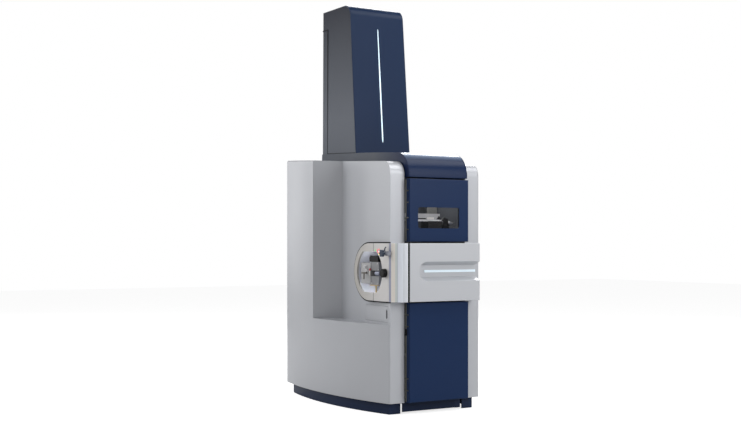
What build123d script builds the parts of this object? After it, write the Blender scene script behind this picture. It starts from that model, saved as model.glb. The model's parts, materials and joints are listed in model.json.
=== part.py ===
from build123d import *
from math import atan2, cos, degrees, hypot, radians, sin
import os

os.makedirs("parts", exist_ok=True)

# Floor-standing mass spectrometer, millimetres.
# +Z is up, -Y is the front, the origin is on the floor under the middle of the machine.

# overall
height = 1900.0
depth = 1060.0                  # front cover face to the end of the exhaust port
front_face = -depth / 2
rear_face = depth / 2
seat = 0.3                      # joint clearance between fixed pieces
sheet = 3.0                     # sheet metal and moulded wall

# plinth
plinth_half_width = 220.4
plinth_front = front_face + 90.0
plinth_rear = rear_face - 70.0
plinth_bulge = 60.0
plinth_top = 52.0
plinth_gap = 8.0                # skirt to floor
plinth_wall = 4.0
kick_half_width = 160.0
kick_joint = 6.0
foot_radius = 28.0
foot_pad = 9.0
foot_rim = 5.4
foot_shoulder = 14.0
foot_stud_radius = 6.0
foot_x = 170.0
foot_y = 370.0

# cabinet frame
frame_half_width = 163.7
frame_wall = 4.0
frame_front = front_face + 64.0
frame_rear = rear_face - 50.0
frame_top = 1047.7
lower_deck = 496.5
upper_deck = 759.0
compartment_depth = 330.0

# side shells
shell_inner = frame_half_width + seat
shell_half_width = 241.0
shell_bulge = 60.0
shell_front = front_face + 61.0
shell_rear = rear_face - 17.0
shell_top_front = frame_top + 68.3
shell_top_rear = frame_top + 128.3
shell_front_radius = 60.0
shell_edge_radius = 9.0
shell_wall = 5.0

# notch in the left shell
ledge_height = 398.0
notch_corner_x = -175.0
notch_corner_y = rear_face - 470.0
notch_outer_x = -(shell_half_width + 56.0)
notch_outer_y = notch_corner_y + 70.0

# hatch in the notch wall, distances run forward from the notch corner
hatch_setback = 260.6           # from the wall's front end to the hatch's hinged edge
hatch_length = 237.0
hatch_bottom = 408.0
hatch_height = 69.0
hatch_gap = 1.0
hatch_pin_radius = 1.2
hatch_pin_reach = 9.0
hatch_pin_end = 1.0             # bore past the pin's end
hatch_slot_length = 40.0
hatch_slot_width = 14.0

# source housing on the left
source_face = -(shell_half_width + 3.0)
source_bottom = lower_deck + 2.0
source_top = upper_deck - 3.0
source_front = front_face + 61.5
source_round_y = front_face + 236.0
source_seam_y = front_face + 192.0
source_bore_y = front_face + 226.5
source_bore_z = source_bottom + 128.7
source_bore = 109.0
source_joint = 0.8
source_edge = 2.0
corner_radius = 58.0
corner_right = -183.0
corner_step = 2.0               # behind the front cover's face

# chamber cup and what it holds
cup_depth = 110.0
cup_clearance = 1.0
cup_wall = 3.0
cup_bottom_radius = 30.0
cup_steps = 4

# front cover between the doors
band_left = -180.4
band_right = 202.2
band_bottom = lower_deck + 2.5
band_top = upper_deck - 3.0
band_edge = 1.5
pocket_height = 86.0
pocket_floor_height = 54.0
pocket_depth = 35.0
pocket_left = -125.0
pocket_z = band_bottom + 133.0
band_light_left = -77.0
band_light_height = 11.0

# source parts inside and around the opening
bore_lip = 8.0
bore_flat = 91.2                # the opening is cut off above and below at this half height
block_face = source_face + 8.0
block_front = source_bore_y - 68.5
block_rear = source_bore_y - 0.5
block_bottom = source_bore_z - 57.2
block_top = source_bore_z + 44.8
block_groove = 25.0
block_groove_depth = 26.0
block_stem = 32.0
cover_rear = source_bore_y + 13.5
cover_front = source_bore_y - 61.5
cover_height = 28.0
cover_depth = 44.0
cover_edge = 8.0
block_edge = 4.0
cone_play = 0.3
cone_radius = block_groove / 2 - cone_play
cone_inset = 0.8                # from the groove's floor
cone_start = 4.0                # back from the block's front end
cone_tip = 3.0
cone_collar = 34.0
cone_length = 52.0
carrier_face = source_face + 6.0
carrier_rear = source_bore_y + 81.5
carrier_stem = 9.0
carrier_height = 94.0
carrier_round = 6.0
thumb_radius = 6.5
thumb_length = 12.0
thumb_flutes = 12
flute_radius = 1.0
flute_outset = 0.4
thumb_y = source_bore_y + 35.5
thumb_z = source_bore_z + 24.2
thumb_step_y = 15.0
thumb_step_z = 16.0
lever_y = source_bore_y + 31.5
lever_z = source_bore_z - 5.2
lever_radius = 3.5
lever_shaft = 4.0
lever_length = 14.0
lever_reach = 28.0
lever_bar = 40.0
black_knob_radius = 19.5
black_knob_length = 18.0
black_knob_edge = 3.0
black_knob_y = front_face + 93.0
black_knob_z = source_bore_z - 2.7
shaft_radius = 4.0
shaft_clearance = 0.05
shaft_depth = 6.0
valve_y = front_face + 75.0
valve_z = source_bore_z + 84.8
valve_radius = 9.0
valve_length = 22.0
star_hub = 11.5
star_lobe_radius = 5.0
star_lobes = 6
star_length = 10.0
hose_radius = 4.0
hose_reach = 27.0
light_radius = 4.0
light_pitch = 11.0
light_height = 2.4
light_y = front_face + 144.0
light_z = source_bore_z + 91.8
post_radius = 4.0
post_x = source_face + 18.0
post_y = source_bore_y - 29.0
cap_y = source_bore_y - 16.5
cap_length = 58.0
post_cap = 16.0
post_cap_thickness = 4.0
post_gap = 1.5

# doors
door_half_width = 159.0
door_front = front_face + 27.0
door_back = front_face + 60.0
lower_door_bottom = plinth_top + 3.0
lower_door_top = lower_deck - 2.5
upper_door_bottom = upper_deck + 4.0
upper_door_top = frame_top - 6.7
door_edge_radius = 4.0
pin_radius = 2.5
pin_clearance = 0.05
hinge_x = -door_half_width + 8.0
hinge_y = front_face + 46.0
hinge_length = 46.0
hinge_inset = 79.0
hinge_block = 10.0
hinge_leaf = 4.0
leaf_relief = 0.5               # leaf edge back from the hinge block's corner
leaf_slot_play = 3.0
frame_play = 1.0                # hinge leaf to the frame's front edge
window_left = -113.8
window_right = 108.0
window_bottom = upper_deck + 63.0
window_top = window_bottom + 93.0
window_radius = 10.0
window_lap = 8.0
glass_thickness = 4.0
catch_z = lower_door_bottom + 309.0
catch_height = 28.0
catch_depth = 12.0
buffer_inset = 9.0             # from the door's back edge to the buffer's middle
buffer_height = 2.7
buffer_round = 1.0

# roof hood
hood_half_width = 157.5
hood_front = front_face + 35.0
hood_bottom = frame_top + seat
hood_roll = 97.0
hood_roll_top = frame_top + 104.3
hood_mid_y = rear_face - 570.0
hood_mid_z = frame_top + 133.3
hood_rear_z = frame_top + 152.3
skirt_sheet = 3.0

# tower
tower_half_bottom = 151.0
tower_half_top = 148.0
tower_front_y = rear_face - 558.0
tower_front_z = hood_mid_z
tower_lean_y = tower_front_y + 56.0
tower_lean_z = height - 65.0
tower_roll = 58.0
tower_top_seam = rear_face - 430.0
tower_rear_y = rear_face - 229.0
tower_seam_y = tower_rear_y - 49.0
tower_seam_top = height - 91.0
tower_joint = 1.0
tower_skin = 6.0
light_bar_bottom = tower_front_z + 59.0
light_bar_top = height - 135.0
light_bar_half_bottom = 4.0
light_bar_half_top = 5.5
light_bar_recess = 1.0

# flight tube
tube_y = rear_face - 380.0
tube_radius = 84.0
tube_wall = 4.0
tube_bottom = hood_bottom + skirt_sheet + 1.0
tube_top = height - 200.0
flange_radius = 100.0
flange_thickness = 14.0
mirror_rings = 8
mirror_outer = 70.0
mirror_inner = 48.0
mirror_ring = 5.0
mirror_pitch = 24.0
mirror_rod_radius = 3.0
mirror_rod_circle = 59.0
mirror_top_gap = 20.0

# instruments in the upper compartment
line_y = front_face + 115.0
line_bottom = upper_deck + 97.0
line_lip = 6.0
line_lip_reach = 8.0
line_height = 27.0
line_depth = 30.0
line_left = -140.0
line_right = 52.0
lip_right = 68.0
clamp_x = 86.0
clamp_half = 20.0
clamp_column = 16.0
clamp_shoulder = upper_deck + 76.0
clamp_top = upper_deck + 113.0
wedge_x = 44.0
wedge_half = 11.0
nozzle_z = upper_deck + 89.0
nozzle_radius = 9.0
nozzle_neck = 5.4
nozzle_tip_radius = 2.0
nozzle_shoulder = 7.0
nozzle_taper = 24.0
nozzle_reach = 27.2
module_left = -22.0
module_right = 54.0
module_depth = 60.0
module_round = 3.0
pale_panel_left = 104.0
pale_panel_y = frame_front + 216.0

# machinery in the lower compartment
pump_radius = 66.0
pump_height = 190.0
pump_x = -70.0
pump_y = frame_front + 166.0
pump_fins = 6
pump_fin_depth = 7.0
pump_flange_radius = 76.0
supply_width = 110.0
supply_depth = 220.0
supply_height = 260.0
supply_x = 88.0
supply_slots = 8
supply_slot_pitch = 16.0
supply_slot_length = 77.0
supply_slot_width = 6.4

# rear
rear_sheet = 3.0
louvre_count = 10
louvre_pitch = 24.0
louvre_width = 220.0
louvre_height = 9.0
louvre_bottom = 480.0
fan_size = 120.0
fan_depth = 38.0
fan_z = 330.0
fan_x = 60.0
fan_wall = 4.0
fan_hub_radius = 20.0
fan_blades = 7
fan_blade_tip = 52.0
fan_slots = 7
fan_slot_pitch = 15.0
fan_slot_width = 8.2
fan_corner = 6.0
fan_play = 1.0                  # rotor to the strut
blade_inset = 2.0
blade_thickness = 4.0
port_radius = 20.0
port_bore = 16.0
port_flange_radius = 32.0
port_flange = 6.0
port_z = louvre_bottom + 340.0
port_x = 70.0
gas_pitch = 42.0
gas_z = port_z + 110.0
gas_radius = 8.0
gas_nut_radius = 11.2
gas_bore = 4.0
gas_length = 24.0
inlet_width = 50.0
inlet_height = 30.0
inlet_depth = 10.0
inlet_round = 4.0
inlet_socket_round = 2.0
inlet_z = 250.0
inlet_x = -80.0
switch_width = 22.0
switch_height = 30.0
switch_bezel = 3.0
switch_x = -30.0
switch_gap = 0.8
switch_pin_radius = 1.5
rocker_back = 3.0
rocker_front = 4.5
rocker_dish = 1.0
rocker_back_share = 0.6
rocker_edge = 0.6

# worked out
frame_bottom = plinth_top + seat
shell_bottom = plinth_top + seat
shell_middle = (shell_front + shell_rear) / 2
crease_x = -shell_half_width + 4.0
wall_run = (crease_x - notch_corner_x, shell_front - notch_corner_y)
wall_length = hypot(*wall_run)
wall_dir = (wall_run[0] / wall_length, wall_run[1] / wall_length)
hatch_rear = wall_length - hatch_setback
wall_plane = Plane(
    origin=(notch_corner_x, notch_corner_y, 0),
    x_dir=(wall_dir[0], wall_dir[1], 0),
    z_dir=(wall_dir[1], -wall_dir[0], 0),
)
far = 4000.0                    # longer than anything it cuts


def bulged_plan(half_width, bulge, front, rear):
    middle = (front + rear) / 2
    with BuildSketch() as plan:
        with BuildLine():
            Line((-half_width, front), (half_width, front))
            ThreePointArc((half_width, front), (half_width + bulge, middle), (half_width, rear))
            Line((half_width, rear), (-half_width, rear))
            ThreePointArc((-half_width, rear), (-half_width - bulge, middle), (-half_width, front))
        make_face()
    return plan.sketch


def side_solid(side, inset):       # the space inside the shell when inset is its wall
    inner = shell_inner - (seat if inset else 0.0)
    outer = shell_half_width - inset
    front = shell_front + inset
    rear = shell_rear - inset
    slope = (shell_top_rear - shell_top_front) / (shell_rear - shell_front)
    with BuildPart() as body:
        with BuildSketch(Plane.XY):
            with BuildLine():
                Line((side * inner, 2 * front), (side * outer, 2 * front))
                Line((side * outer, 2 * front), (side * outer, front))
                ThreePointArc(
                    (side * outer, front),
                    (side * (outer + shell_bulge), shell_middle),
                    (side * outer, rear),
                )
                Polyline((side * outer, rear), (side * inner, rear), (side * inner, 2 * front))
            make_face()
        extrude(amount=far)
        with BuildSketch(Plane.YZ) as profile:
            with BuildLine():
                Polyline(
                    (front, shell_bottom + inset),
                    (2 * rear, shell_bottom + inset),
                    (2 * rear, shell_top_rear - inset + slope * rear),
                    (front, shell_top_front - inset + slope * inset),
                    close=True,
                )
            make_face()
            corner = profile.vertices().group_by(Axis.X)[0].sort_by(Axis.Y)[-1]
            fillet(corner, radius=shell_front_radius - inset)
        extrude(amount=far, both=True, mode=Mode.INTERSECT)
        if shell_edge_radius > inset:
            front_edges = body.edges().group_by(Axis.Y)[0].filter_by(Axis.Z)
            outer_edge = front_edges.sort_by(lambda edge: side * edge.center().X)[-1]
            fillet(outer_edge, radius=shell_edge_radius - inset)
    return body.part


# plinth: a bulged skirt under a flat top, open at the front for the kick panel
plinth_plan = bulged_plan(plinth_half_width, plinth_bulge, plinth_front, plinth_rear)
plinth_inner = bulged_plan(
    plinth_half_width - plinth_wall,
    plinth_bulge,
    plinth_front + plinth_wall,
    plinth_rear - plinth_wall,
)
plinth_under = plinth_top - plinth_wall
with BuildPart() as base_plinth:
    with BuildSketch(Plane.XY.offset(plinth_gap)):
        add(plinth_plan)
    extrude(amount=plinth_top - plinth_gap)
    with BuildSketch(Plane.XY.offset(plinth_gap)):
        add(plinth_inner)
    extrude(amount=plinth_under - plinth_gap, mode=Mode.SUBTRACT)
    with BuildSketch(Plane.XZ.offset(-plinth_front)):
        with Locations((0, (plinth_gap + plinth_under) / 2)):
            Rectangle(2 * (kick_half_width + kick_joint / 2), plinth_under - plinth_gap)
    extrude(amount=-2 * plinth_wall, mode=Mode.SUBTRACT)
base_plinth.part.label = "base_plinth"

with BuildPart() as kick_panel:
    with BuildSketch(Plane.YZ):
        with BuildLine():
            Polyline(
                (plinth_front, plinth_gap),
                (plinth_front + sheet, plinth_gap),
                (plinth_front + sheet, plinth_under - seat - sheet),
                (plinth_front + 10 * sheet, plinth_under - seat - sheet),
                (plinth_front + 10 * sheet, plinth_under - seat),
                (plinth_front, plinth_under - seat),
                close=True,
            )
        make_face()
    extrude(amount=kick_half_width - kick_joint / 2, both=True)
kick_panel.part.label = "kick_panel"

with BuildPart() as levelling_feet:
    for x, y in ((-foot_x, -foot_y), (foot_x, -foot_y), (-foot_x, foot_y), (foot_x, foot_y)):
        with BuildSketch(Plane.XZ.offset(-y)):
            with BuildLine():
                Polyline(
                    (x, 0),
                    (x + foot_radius, 0),
                    (x + foot_radius, foot_rim),
                    (x + foot_shoulder, foot_pad),
                    (x + foot_stud_radius, foot_pad),
                    (x + foot_stud_radius, plinth_under - seat),
                    (x, plinth_under - seat),
                    close=True,
                )
            make_face()
        revolve(axis=Axis((x, y, 0), (0, 0, 1)))
levelling_feet.part.label = "levelling_feet"

# cabinet frame: sheet box with three front bays and one rear bay
bay_half = frame_half_width - frame_wall
front_bays = (
    (frame_bottom + frame_wall, lower_deck - frame_wall / 2),
    (lower_deck + frame_wall / 2, upper_deck - frame_wall / 2),
    (upper_deck + frame_wall / 2, frame_top - frame_wall),
)
bay_back = frame_front + compartment_depth
with BuildPart() as cabinet_frame:
    with BuildSketch(Plane.XY.offset(frame_bottom)):
        with Locations((0, (frame_front + frame_rear) / 2)):
            Rectangle(2 * frame_half_width, frame_rear - frame_front)
    extrude(amount=frame_top - frame_bottom)
    for bottom, top in front_bays:
        with BuildSketch(Plane.XZ.offset(-frame_front)):
            with Locations((0, (bottom + top) / 2)):
                Rectangle(2 * bay_half, top - bottom)
        extrude(amount=-compartment_depth, mode=Mode.SUBTRACT)
    with BuildSketch(Plane.XZ.offset(-frame_rear)):
        with Locations((0, (frame_bottom + frame_top) / 2)):
            Rectangle(2 * bay_half, frame_top - frame_bottom - 2 * frame_wall)
    extrude(amount=frame_rear - bay_back - frame_wall, mode=Mode.SUBTRACT)
    with BuildSketch(Plane.YZ.offset(-frame_half_width)):
        with Locations((source_bore_y, source_bore_z)):
            Circle(source_bore + cup_clearance)
    extrude(amount=frame_wall, mode=Mode.SUBTRACT)
    with BuildSketch(Plane.XY.offset(frame_top)):
        with Locations((0, tube_y)):
            Circle(tube_radius + cup_clearance)
    extrude(amount=-frame_wall, mode=Mode.SUBTRACT)
cabinet_frame.part.label = "cabinet_frame"

# right side shell, plain
right_solid = side_solid(1, 0.0)
right_space = side_solid(1, shell_wall)
with BuildPart() as right_shell:
    add(right_solid)
    add(right_space, mode=Mode.SUBTRACT)
right_shell.part.label = "right_shell"

# left side shell: a three-cornered notch over the ledge, its walls as thick as the shell
with BuildSketch() as notch:
    with BuildLine():
        Polyline(
            (notch_corner_x, notch_corner_y),
            (
                notch_corner_x + 2 * (notch_outer_x - notch_corner_x),
                notch_corner_y + 2 * (notch_outer_y - notch_corner_y),
            ),
            (notch_corner_x + 2 * (notch_outer_x - notch_corner_x), 2 * shell_front),
            (
                notch_corner_x + 2 * wall_length * wall_dir[0],
                notch_corner_y + 2 * wall_length * wall_dir[1],
            ),
            close=True,
        )
    make_face()
with BuildSketch() as notch_grown:
    add(notch.sketch)
    offset(amount=shell_wall, kind=Kind.INTERSECTION)
left_solid = side_solid(-1, 0.0)
left_inside = side_solid(-1, shell_wall)
with BuildPart() as left_space:
    add(left_inside)
    with BuildSketch(Plane.XY.offset(ledge_height - shell_wall)):
        add(notch_grown.sketch)
    extrude(amount=far, mode=Mode.SUBTRACT)
with BuildPart() as left_shell:
    add(left_solid)
    with BuildSketch(Plane.XY.offset(ledge_height)):
        add(notch.sketch)
    extrude(amount=far, mode=Mode.SUBTRACT)
    add(left_space.part, mode=Mode.SUBTRACT)
    with BuildSketch(Plane.YZ.offset(-2 * shell_half_width)):
        with Locations((source_bore_y, source_bore_z)):
            Circle(source_bore + cup_clearance)
    extrude(amount=2 * shell_half_width, mode=Mode.SUBTRACT)
    with BuildSketch(wall_plane):
        with Locations((hatch_rear + hatch_length / 2, hatch_bottom + hatch_height / 2)):
            Rectangle(hatch_length + 2 * hatch_gap, hatch_height + 2 * hatch_gap)
    extrude(amount=-2 * shell_wall, mode=Mode.SUBTRACT)
left_shell.part.label = "left_shell"


# source housing: a D-ended block round the opening, in a rear and a front part
housing_radius = (source_top - source_bottom) / 2
housing_z = (source_top + source_bottom) / 2
housing_bodies = {}
for name, rear_part in {"source_housing_rear": True, "source_housing_front": False}.items():
    with BuildPart() as housing:
        with BuildSketch(Plane.YZ.offset(source_face)):
            with Locations((source_round_y, housing_z)):
                Circle(housing_radius)
            with Locations(((source_front + source_round_y) / 2, housing_z)):
                Rectangle(source_round_y - source_front, 2 * housing_radius)
        extrude(amount=notch_corner_x - source_face)
        chamfer(housing.faces().sort_by(Axis.X)[0].outer_wire().edges(), length=source_edge)
        split(bisect_by=wall_plane.offset(seat), keep=Keep.TOP)
        with BuildSketch(Plane.YZ.offset(source_face)):
            with Locations((source_bore_y, source_bore_z)):
                Circle(source_bore)
                Rectangle(2 * source_bore, 2 * bore_flat, mode=Mode.INTERSECT)
        extrude(amount=bore_lip, mode=Mode.SUBTRACT)
        with BuildSketch(Plane.YZ.offset(source_face + bore_lip)):
            with Locations((source_bore_y, source_bore_z)):
                Circle(source_bore)
        extrude(amount=far, mode=Mode.SUBTRACT)
        for y, z, radius in (
            (black_knob_y, black_knob_z, shaft_radius + shaft_clearance),
            (valve_y, valve_z, shaft_radius + shaft_clearance),
        ):
            with BuildSketch(Plane.YZ.offset(source_face)):
                with Locations((y, z)):
                    Circle(radius)
            extrude(amount=shaft_depth, mode=Mode.SUBTRACT)
        cut = source_seam_y + (source_joint if rear_part else -source_joint) / 2
        split(bisect_by=Plane.XZ.offset(-cut), keep=Keep.BOTTOM if rear_part else Keep.TOP)
    housing.part.label = name
    housing_bodies[name] = housing.part

# bent corner between the housing and the front cover
corner_front = front_face + corner_step
corner_back = shell_front - seat


def corner_plan(inset):
    left = source_face + inset
    front = corner_front + inset
    radius = corner_radius - inset
    with BuildSketch() as plan:
        with BuildLine():
            Polyline(
                (corner_right, front),
                (corner_right, corner_back),
                (left, corner_back),
                (left, front + radius),
            )
            RadiusArc((left, front + radius), (left + radius, front), -radius)
            Line((left + radius, front), (corner_right, front))
        make_face()
    return plan.sketch


corner_outer = corner_plan(0.0)
corner_inner = corner_plan(sheet)
with BuildPart() as source_corner:
    with BuildSketch(Plane.XY.offset(source_bottom)):
        add(corner_outer)
    extrude(amount=source_top - source_bottom)
    with BuildSketch(Plane.XY.offset(source_bottom + sheet)):
        add(corner_inner)
    extrude(amount=source_top - source_bottom - 2 * sheet, mode=Mode.SUBTRACT)
source_corner.part.label = "source_corner"

# chamber cup: its mouth sits behind the lip of the opening
bore_plane = Plane(origin=(0, source_bore_y, source_bore_z), x_dir=(1, 0, 0), z_dir=(0, -1, 0))
bore_axis = Axis((0, source_bore_y, source_bore_z), (1, 0, 0))
cup_mouth = source_face + bore_lip + seat
cup_end = cup_mouth + cup_depth
cup_floor = cup_end - cup_wall
cup_outer = source_bore - seat
cup_turns = [radians(90 * step / cup_steps) for step in range(cup_steps + 1)]
cup_x = cup_end - cup_bottom_radius
cup_r = cup_outer - cup_bottom_radius
cup_bends = [
    [(cup_x + radius * sin(turn), cup_r + radius * cos(turn)) for turn in cup_turns]
    for radius in (cup_bottom_radius, cup_bottom_radius - cup_wall)
]
with BuildPart() as source_chamber:
    with BuildSketch(bore_plane):
        with BuildLine():
            Polyline(
                (cup_mouth, cup_outer),
                *cup_bends[0],
                (cup_end, 0),
                (cup_floor, 0),
                *reversed(cup_bends[1]),
                (cup_mouth, cup_outer - cup_wall),
                close=True,
            )
        make_face()
    revolve(axis=bore_axis)
source_chamber.part.label = "source_chamber"

# machined source block on a stem, with a groove across and a sampling cone on it
block_y = (block_front + block_rear) / 2
block_z = (block_bottom + block_top) / 2
block_back = cup_end - cup_bottom_radius - seat
with BuildPart() as source_block:
    with BuildSketch(Plane.YZ.offset(block_face)):
        with Locations((block_y, block_z)):
            Rectangle(block_rear - block_front, block_top - block_bottom)
    extrude(amount=block_back - block_face)
    chamfer(source_block.edges().filter_by(Axis.X), length=block_edge)
    with BuildSketch(Plane.YZ.offset(block_face)):
        with Locations((block_y, block_z)):
            Rectangle(far, block_groove)
    extrude(amount=block_groove_depth, mode=Mode.SUBTRACT)
    with BuildSketch(Plane.YZ.offset(block_back)):
        with Locations((source_bore_y - block_stem, source_bore_z)):
            Circle(block_stem)
    extrude(amount=cup_floor - seat - block_back)
source_block.part.label = "source_block"

cone_x = block_face + block_groove_depth - cone_inset - cone_radius
cone_base = block_front + cone_start
with BuildPart() as sampling_cone:
    with BuildSketch(Plane(origin=(cone_x, cone_base, block_z), x_dir=(0, 1, 0), z_dir=(1, 0, 0))):
        with BuildLine():
            Polyline(
                (0, 0),
                (0, cone_radius),
                (cone_collar, cone_radius),
                (cone_length, cone_tip),
                (cone_length, 0),
                close=True,
            )
        make_face()
    revolve(axis=Axis((cone_x, 0, block_z), (0, 1, 0)))
sampling_cone.part.label = "sampling_cone"

with BuildPart() as source_cover:
    with BuildSketch(Plane.YZ.offset(block_face)):
        with Locations(((cover_front + cover_rear) / 2, block_top + seat + cover_height / 2)):
            Rectangle(cover_rear - cover_front, cover_height)
    extrude(amount=cover_depth)
    chamfer(source_cover.faces().sort_by(Axis.Z)[-1].edges().filter_by(Axis.X), length=cover_edge)
source_cover.part.label = "source_cover"

# carrier plate beside the block, with bores for the two thumb screws and the lever
carrier_y = (block_rear + 2 * seat + carrier_rear) / 2
screw_places = ((thumb_y, thumb_z), (thumb_y - thumb_step_y, thumb_z - thumb_step_z))
with BuildPart() as source_carrier:
    with BuildSketch(Plane.YZ.offset(carrier_face)):
        with Locations((carrier_y, block_z)):
            Rectangle(carrier_rear - block_rear - 2 * seat, carrier_height)
    extrude(amount=block_back - carrier_face)
    fillet(source_carrier.edges().filter_by(Axis.X), radius=carrier_round)
    with BuildSketch(Plane.YZ.offset(block_back)):
        with Locations((carrier_y, source_bore_z)):
            Circle(carrier_stem)
    extrude(amount=cup_floor - seat - block_back)
    for y, z in (*screw_places, (lever_y, lever_z)):
        with BuildSketch(Plane.YZ.offset(carrier_face)):
            with Locations((y, z)):
                Circle(shaft_radius + shaft_clearance)
        extrude(amount=shaft_depth, mode=Mode.SUBTRACT)
source_carrier.part.label = "source_carrier"

thumb_bodies = {}
for name, (y, z) in zip(("thumb_screw_upper", "thumb_screw_lower"), screw_places):
    with BuildPart() as thumb:
        with BuildSketch(Plane.YZ.offset(carrier_face - seat)):
            with Locations((y, z)):
                Circle(thumb_radius)
                with PolarLocations(thumb_radius + flute_outset, thumb_flutes):
                    Circle(flute_radius, mode=Mode.SUBTRACT)
        extrude(amount=-thumb_length)
        with BuildSketch(Plane.YZ.offset(carrier_face - seat)):
            with Locations((y, z)):
                Circle(shaft_radius)
        extrude(amount=shaft_depth)
    thumb.part.label = name
    thumb_bodies[name] = thumb.part

with BuildPart() as lock_lever:
    with BuildSketch(Plane.YZ.offset(carrier_face - seat)):
        with Locations((lever_y, lever_z)):
            Circle(lever_shaft)
    extrude(amount=-lever_length)
    with BuildSketch(Plane.YZ.offset(carrier_face - seat)):
        with Locations((lever_y, lever_z)):
            Circle(shaft_radius)
    extrude(amount=shaft_depth)
    with BuildSketch(Plane.YZ.offset(carrier_face - seat - lever_length)):
        with Locations((lever_y, lever_z)):
            SlotOverall(lever_bar, 2 * lever_radius)
        with Locations((lever_y, lever_z - lever_reach / 2)):
            Rectangle(2 * lever_radius, lever_reach)
    extrude(amount=-lever_radius)
lock_lever.part.label = "lock_lever"

# knobs on the front part of the housing
with BuildPart() as black_knob:
    with BuildSketch(Plane.YZ.offset(source_face - seat)):
        with Locations((black_knob_y, black_knob_z)):
            Circle(black_knob_radius)
    extrude(amount=-black_knob_length)
    chamfer(black_knob.faces().sort_by(Axis.X)[0].edges(), length=black_knob_edge)
    with BuildSketch(Plane.YZ.offset(source_face - seat)):
        with Locations((black_knob_y, black_knob_z)):
            Circle(shaft_radius)
    extrude(amount=shaft_depth - seat)
black_knob.part.label = "black_knob"

valve_face = source_face - seat - valve_length
with BuildPart() as gas_valve_body:
    with BuildSketch(Plane.YZ.offset(source_face - seat)):
        with Locations((valve_y, valve_z)):
            Circle(valve_radius)
    extrude(amount=-valve_length)
    with BuildSketch(Plane.XZ.offset(-valve_y)):
        with Locations((valve_face + valve_length / 2, valve_z)):
            Circle(hose_radius)
    extrude(amount=hose_reach)
    with BuildSketch(Plane.YZ.offset(source_face)):
        with Locations((valve_y, valve_z)):
            Circle(shaft_radius + shaft_clearance)
    extrude(amount=-far, mode=Mode.SUBTRACT)
gas_valve_body.part.label = "gas_valve_body"

with BuildPart() as star_knob:
    with BuildSketch(Plane.YZ.offset(valve_face - seat)):
        with Locations((valve_y, valve_z)):
            Circle(star_hub)
            with PolarLocations(star_hub, star_lobes):
                Circle(star_lobe_radius)
    extrude(amount=-star_length)
    with BuildSketch(Plane.YZ.offset(valve_face - seat)):
        with Locations((valve_y, valve_z)):
            Circle(shaft_radius)
    extrude(amount=valve_length + shaft_depth)
star_knob.part.label = "star_knob"

with BuildPart() as indicator_lights:
    with BuildSketch(Plane.YZ.offset(source_face - seat)):
        with Locations((light_y, light_z)):
            with GridLocations(0, light_pitch, 1, 3):
                Circle(light_radius)
    extrude(amount=-light_height)
    chamfer(indicator_lights.faces().group_by(Axis.X)[0].edges(), length=light_height / 2)
indicator_lights.part.label = "indicator_lights"

cup_inner = cup_outer - cup_wall
post_floor = source_bore_z - (cup_inner**2 - (source_bore_y - post_y) ** 2) ** 0.5
with BuildPart() as block_post:
    with BuildSketch(Plane.XY.offset(block_bottom - seat)):
        with Locations((post_x, cap_y)):
            Rectangle(post_cap, cap_length)
    extrude(amount=-post_cap_thickness)
    with BuildSketch(Plane.XY.offset(block_bottom - seat - post_cap_thickness)):
        with Locations((post_x, post_y)):
            Circle(post_radius)
    extrude(amount=post_floor + post_gap - (block_bottom - seat - post_cap_thickness))
block_post.part.label = "block_post"

# front cover between the doors, with a tapered grip pocket open at its right end
band_height = band_top - band_bottom
pocket_taper = degrees(atan2((pocket_height - pocket_floor_height) / 2, pocket_depth))
pocket_length = 2 * (band_right - pocket_left)
with BuildPart() as pocket_space:
    with BuildSketch(Plane.XZ.offset(-front_face)):
        with Locations((pocket_left + pocket_length / 2, pocket_z)):
            SlotOverall(pocket_length, pocket_height)
    extrude(amount=-pocket_depth, taper=pocket_taper)
with BuildPart() as pocket_wall:
    with BuildSketch(Plane.XZ.offset(-front_face)):
        with Locations((pocket_left + pocket_length / 2, pocket_z)):
            SlotOverall(pocket_length + 2 * sheet, pocket_height + 2 * sheet)
    extrude(amount=-pocket_depth - sheet, taper=pocket_taper)
    with BuildSketch(Plane.YZ.offset(band_right)):
        Rectangle(far, far)
    extrude(amount=far, mode=Mode.SUBTRACT)
with BuildPart() as band_cover:
    with BuildSketch(Plane.XZ.offset(-front_face)):
        with Locations(((band_left + band_right) / 2, (band_bottom + band_top) / 2)):
            Rectangle(band_right - band_left, band_height)
    extrude(amount=front_face - corner_back)
    fillet(band_cover.faces().sort_by(Axis.Y)[0].edges(), radius=band_edge)
    with BuildSketch(Plane.XZ.offset(-corner_back)):
        with Locations(((band_left + band_right) / 2, (band_bottom + band_top) / 2)):
            Rectangle(band_right - band_left - 2 * sheet, band_height - 2 * sheet)
    extrude(amount=corner_back - front_face - sheet, mode=Mode.SUBTRACT)
    add(pocket_wall.part)
    add(pocket_space.part, mode=Mode.SUBTRACT)
band_cover.part.label = "band_cover"

pocket_floor = front_face + pocket_depth
with BuildPart() as band_light_bar:
    with BuildSketch(Plane.XZ.offset(-(pocket_floor - seat))):
        with Locations(((band_light_left + band_right - sheet) / 2, pocket_z)):
            Rectangle(band_right - sheet - band_light_left, band_light_height)
    extrude(amount=sheet)
band_light_bar.part.label = "band_light_bar"

# doors: folded trays on pins, the left return slotted for the hinge leaves
block_left = hinge_x - hinge_block / 2
leaf_half = hinge_length / 2 + seat


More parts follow.
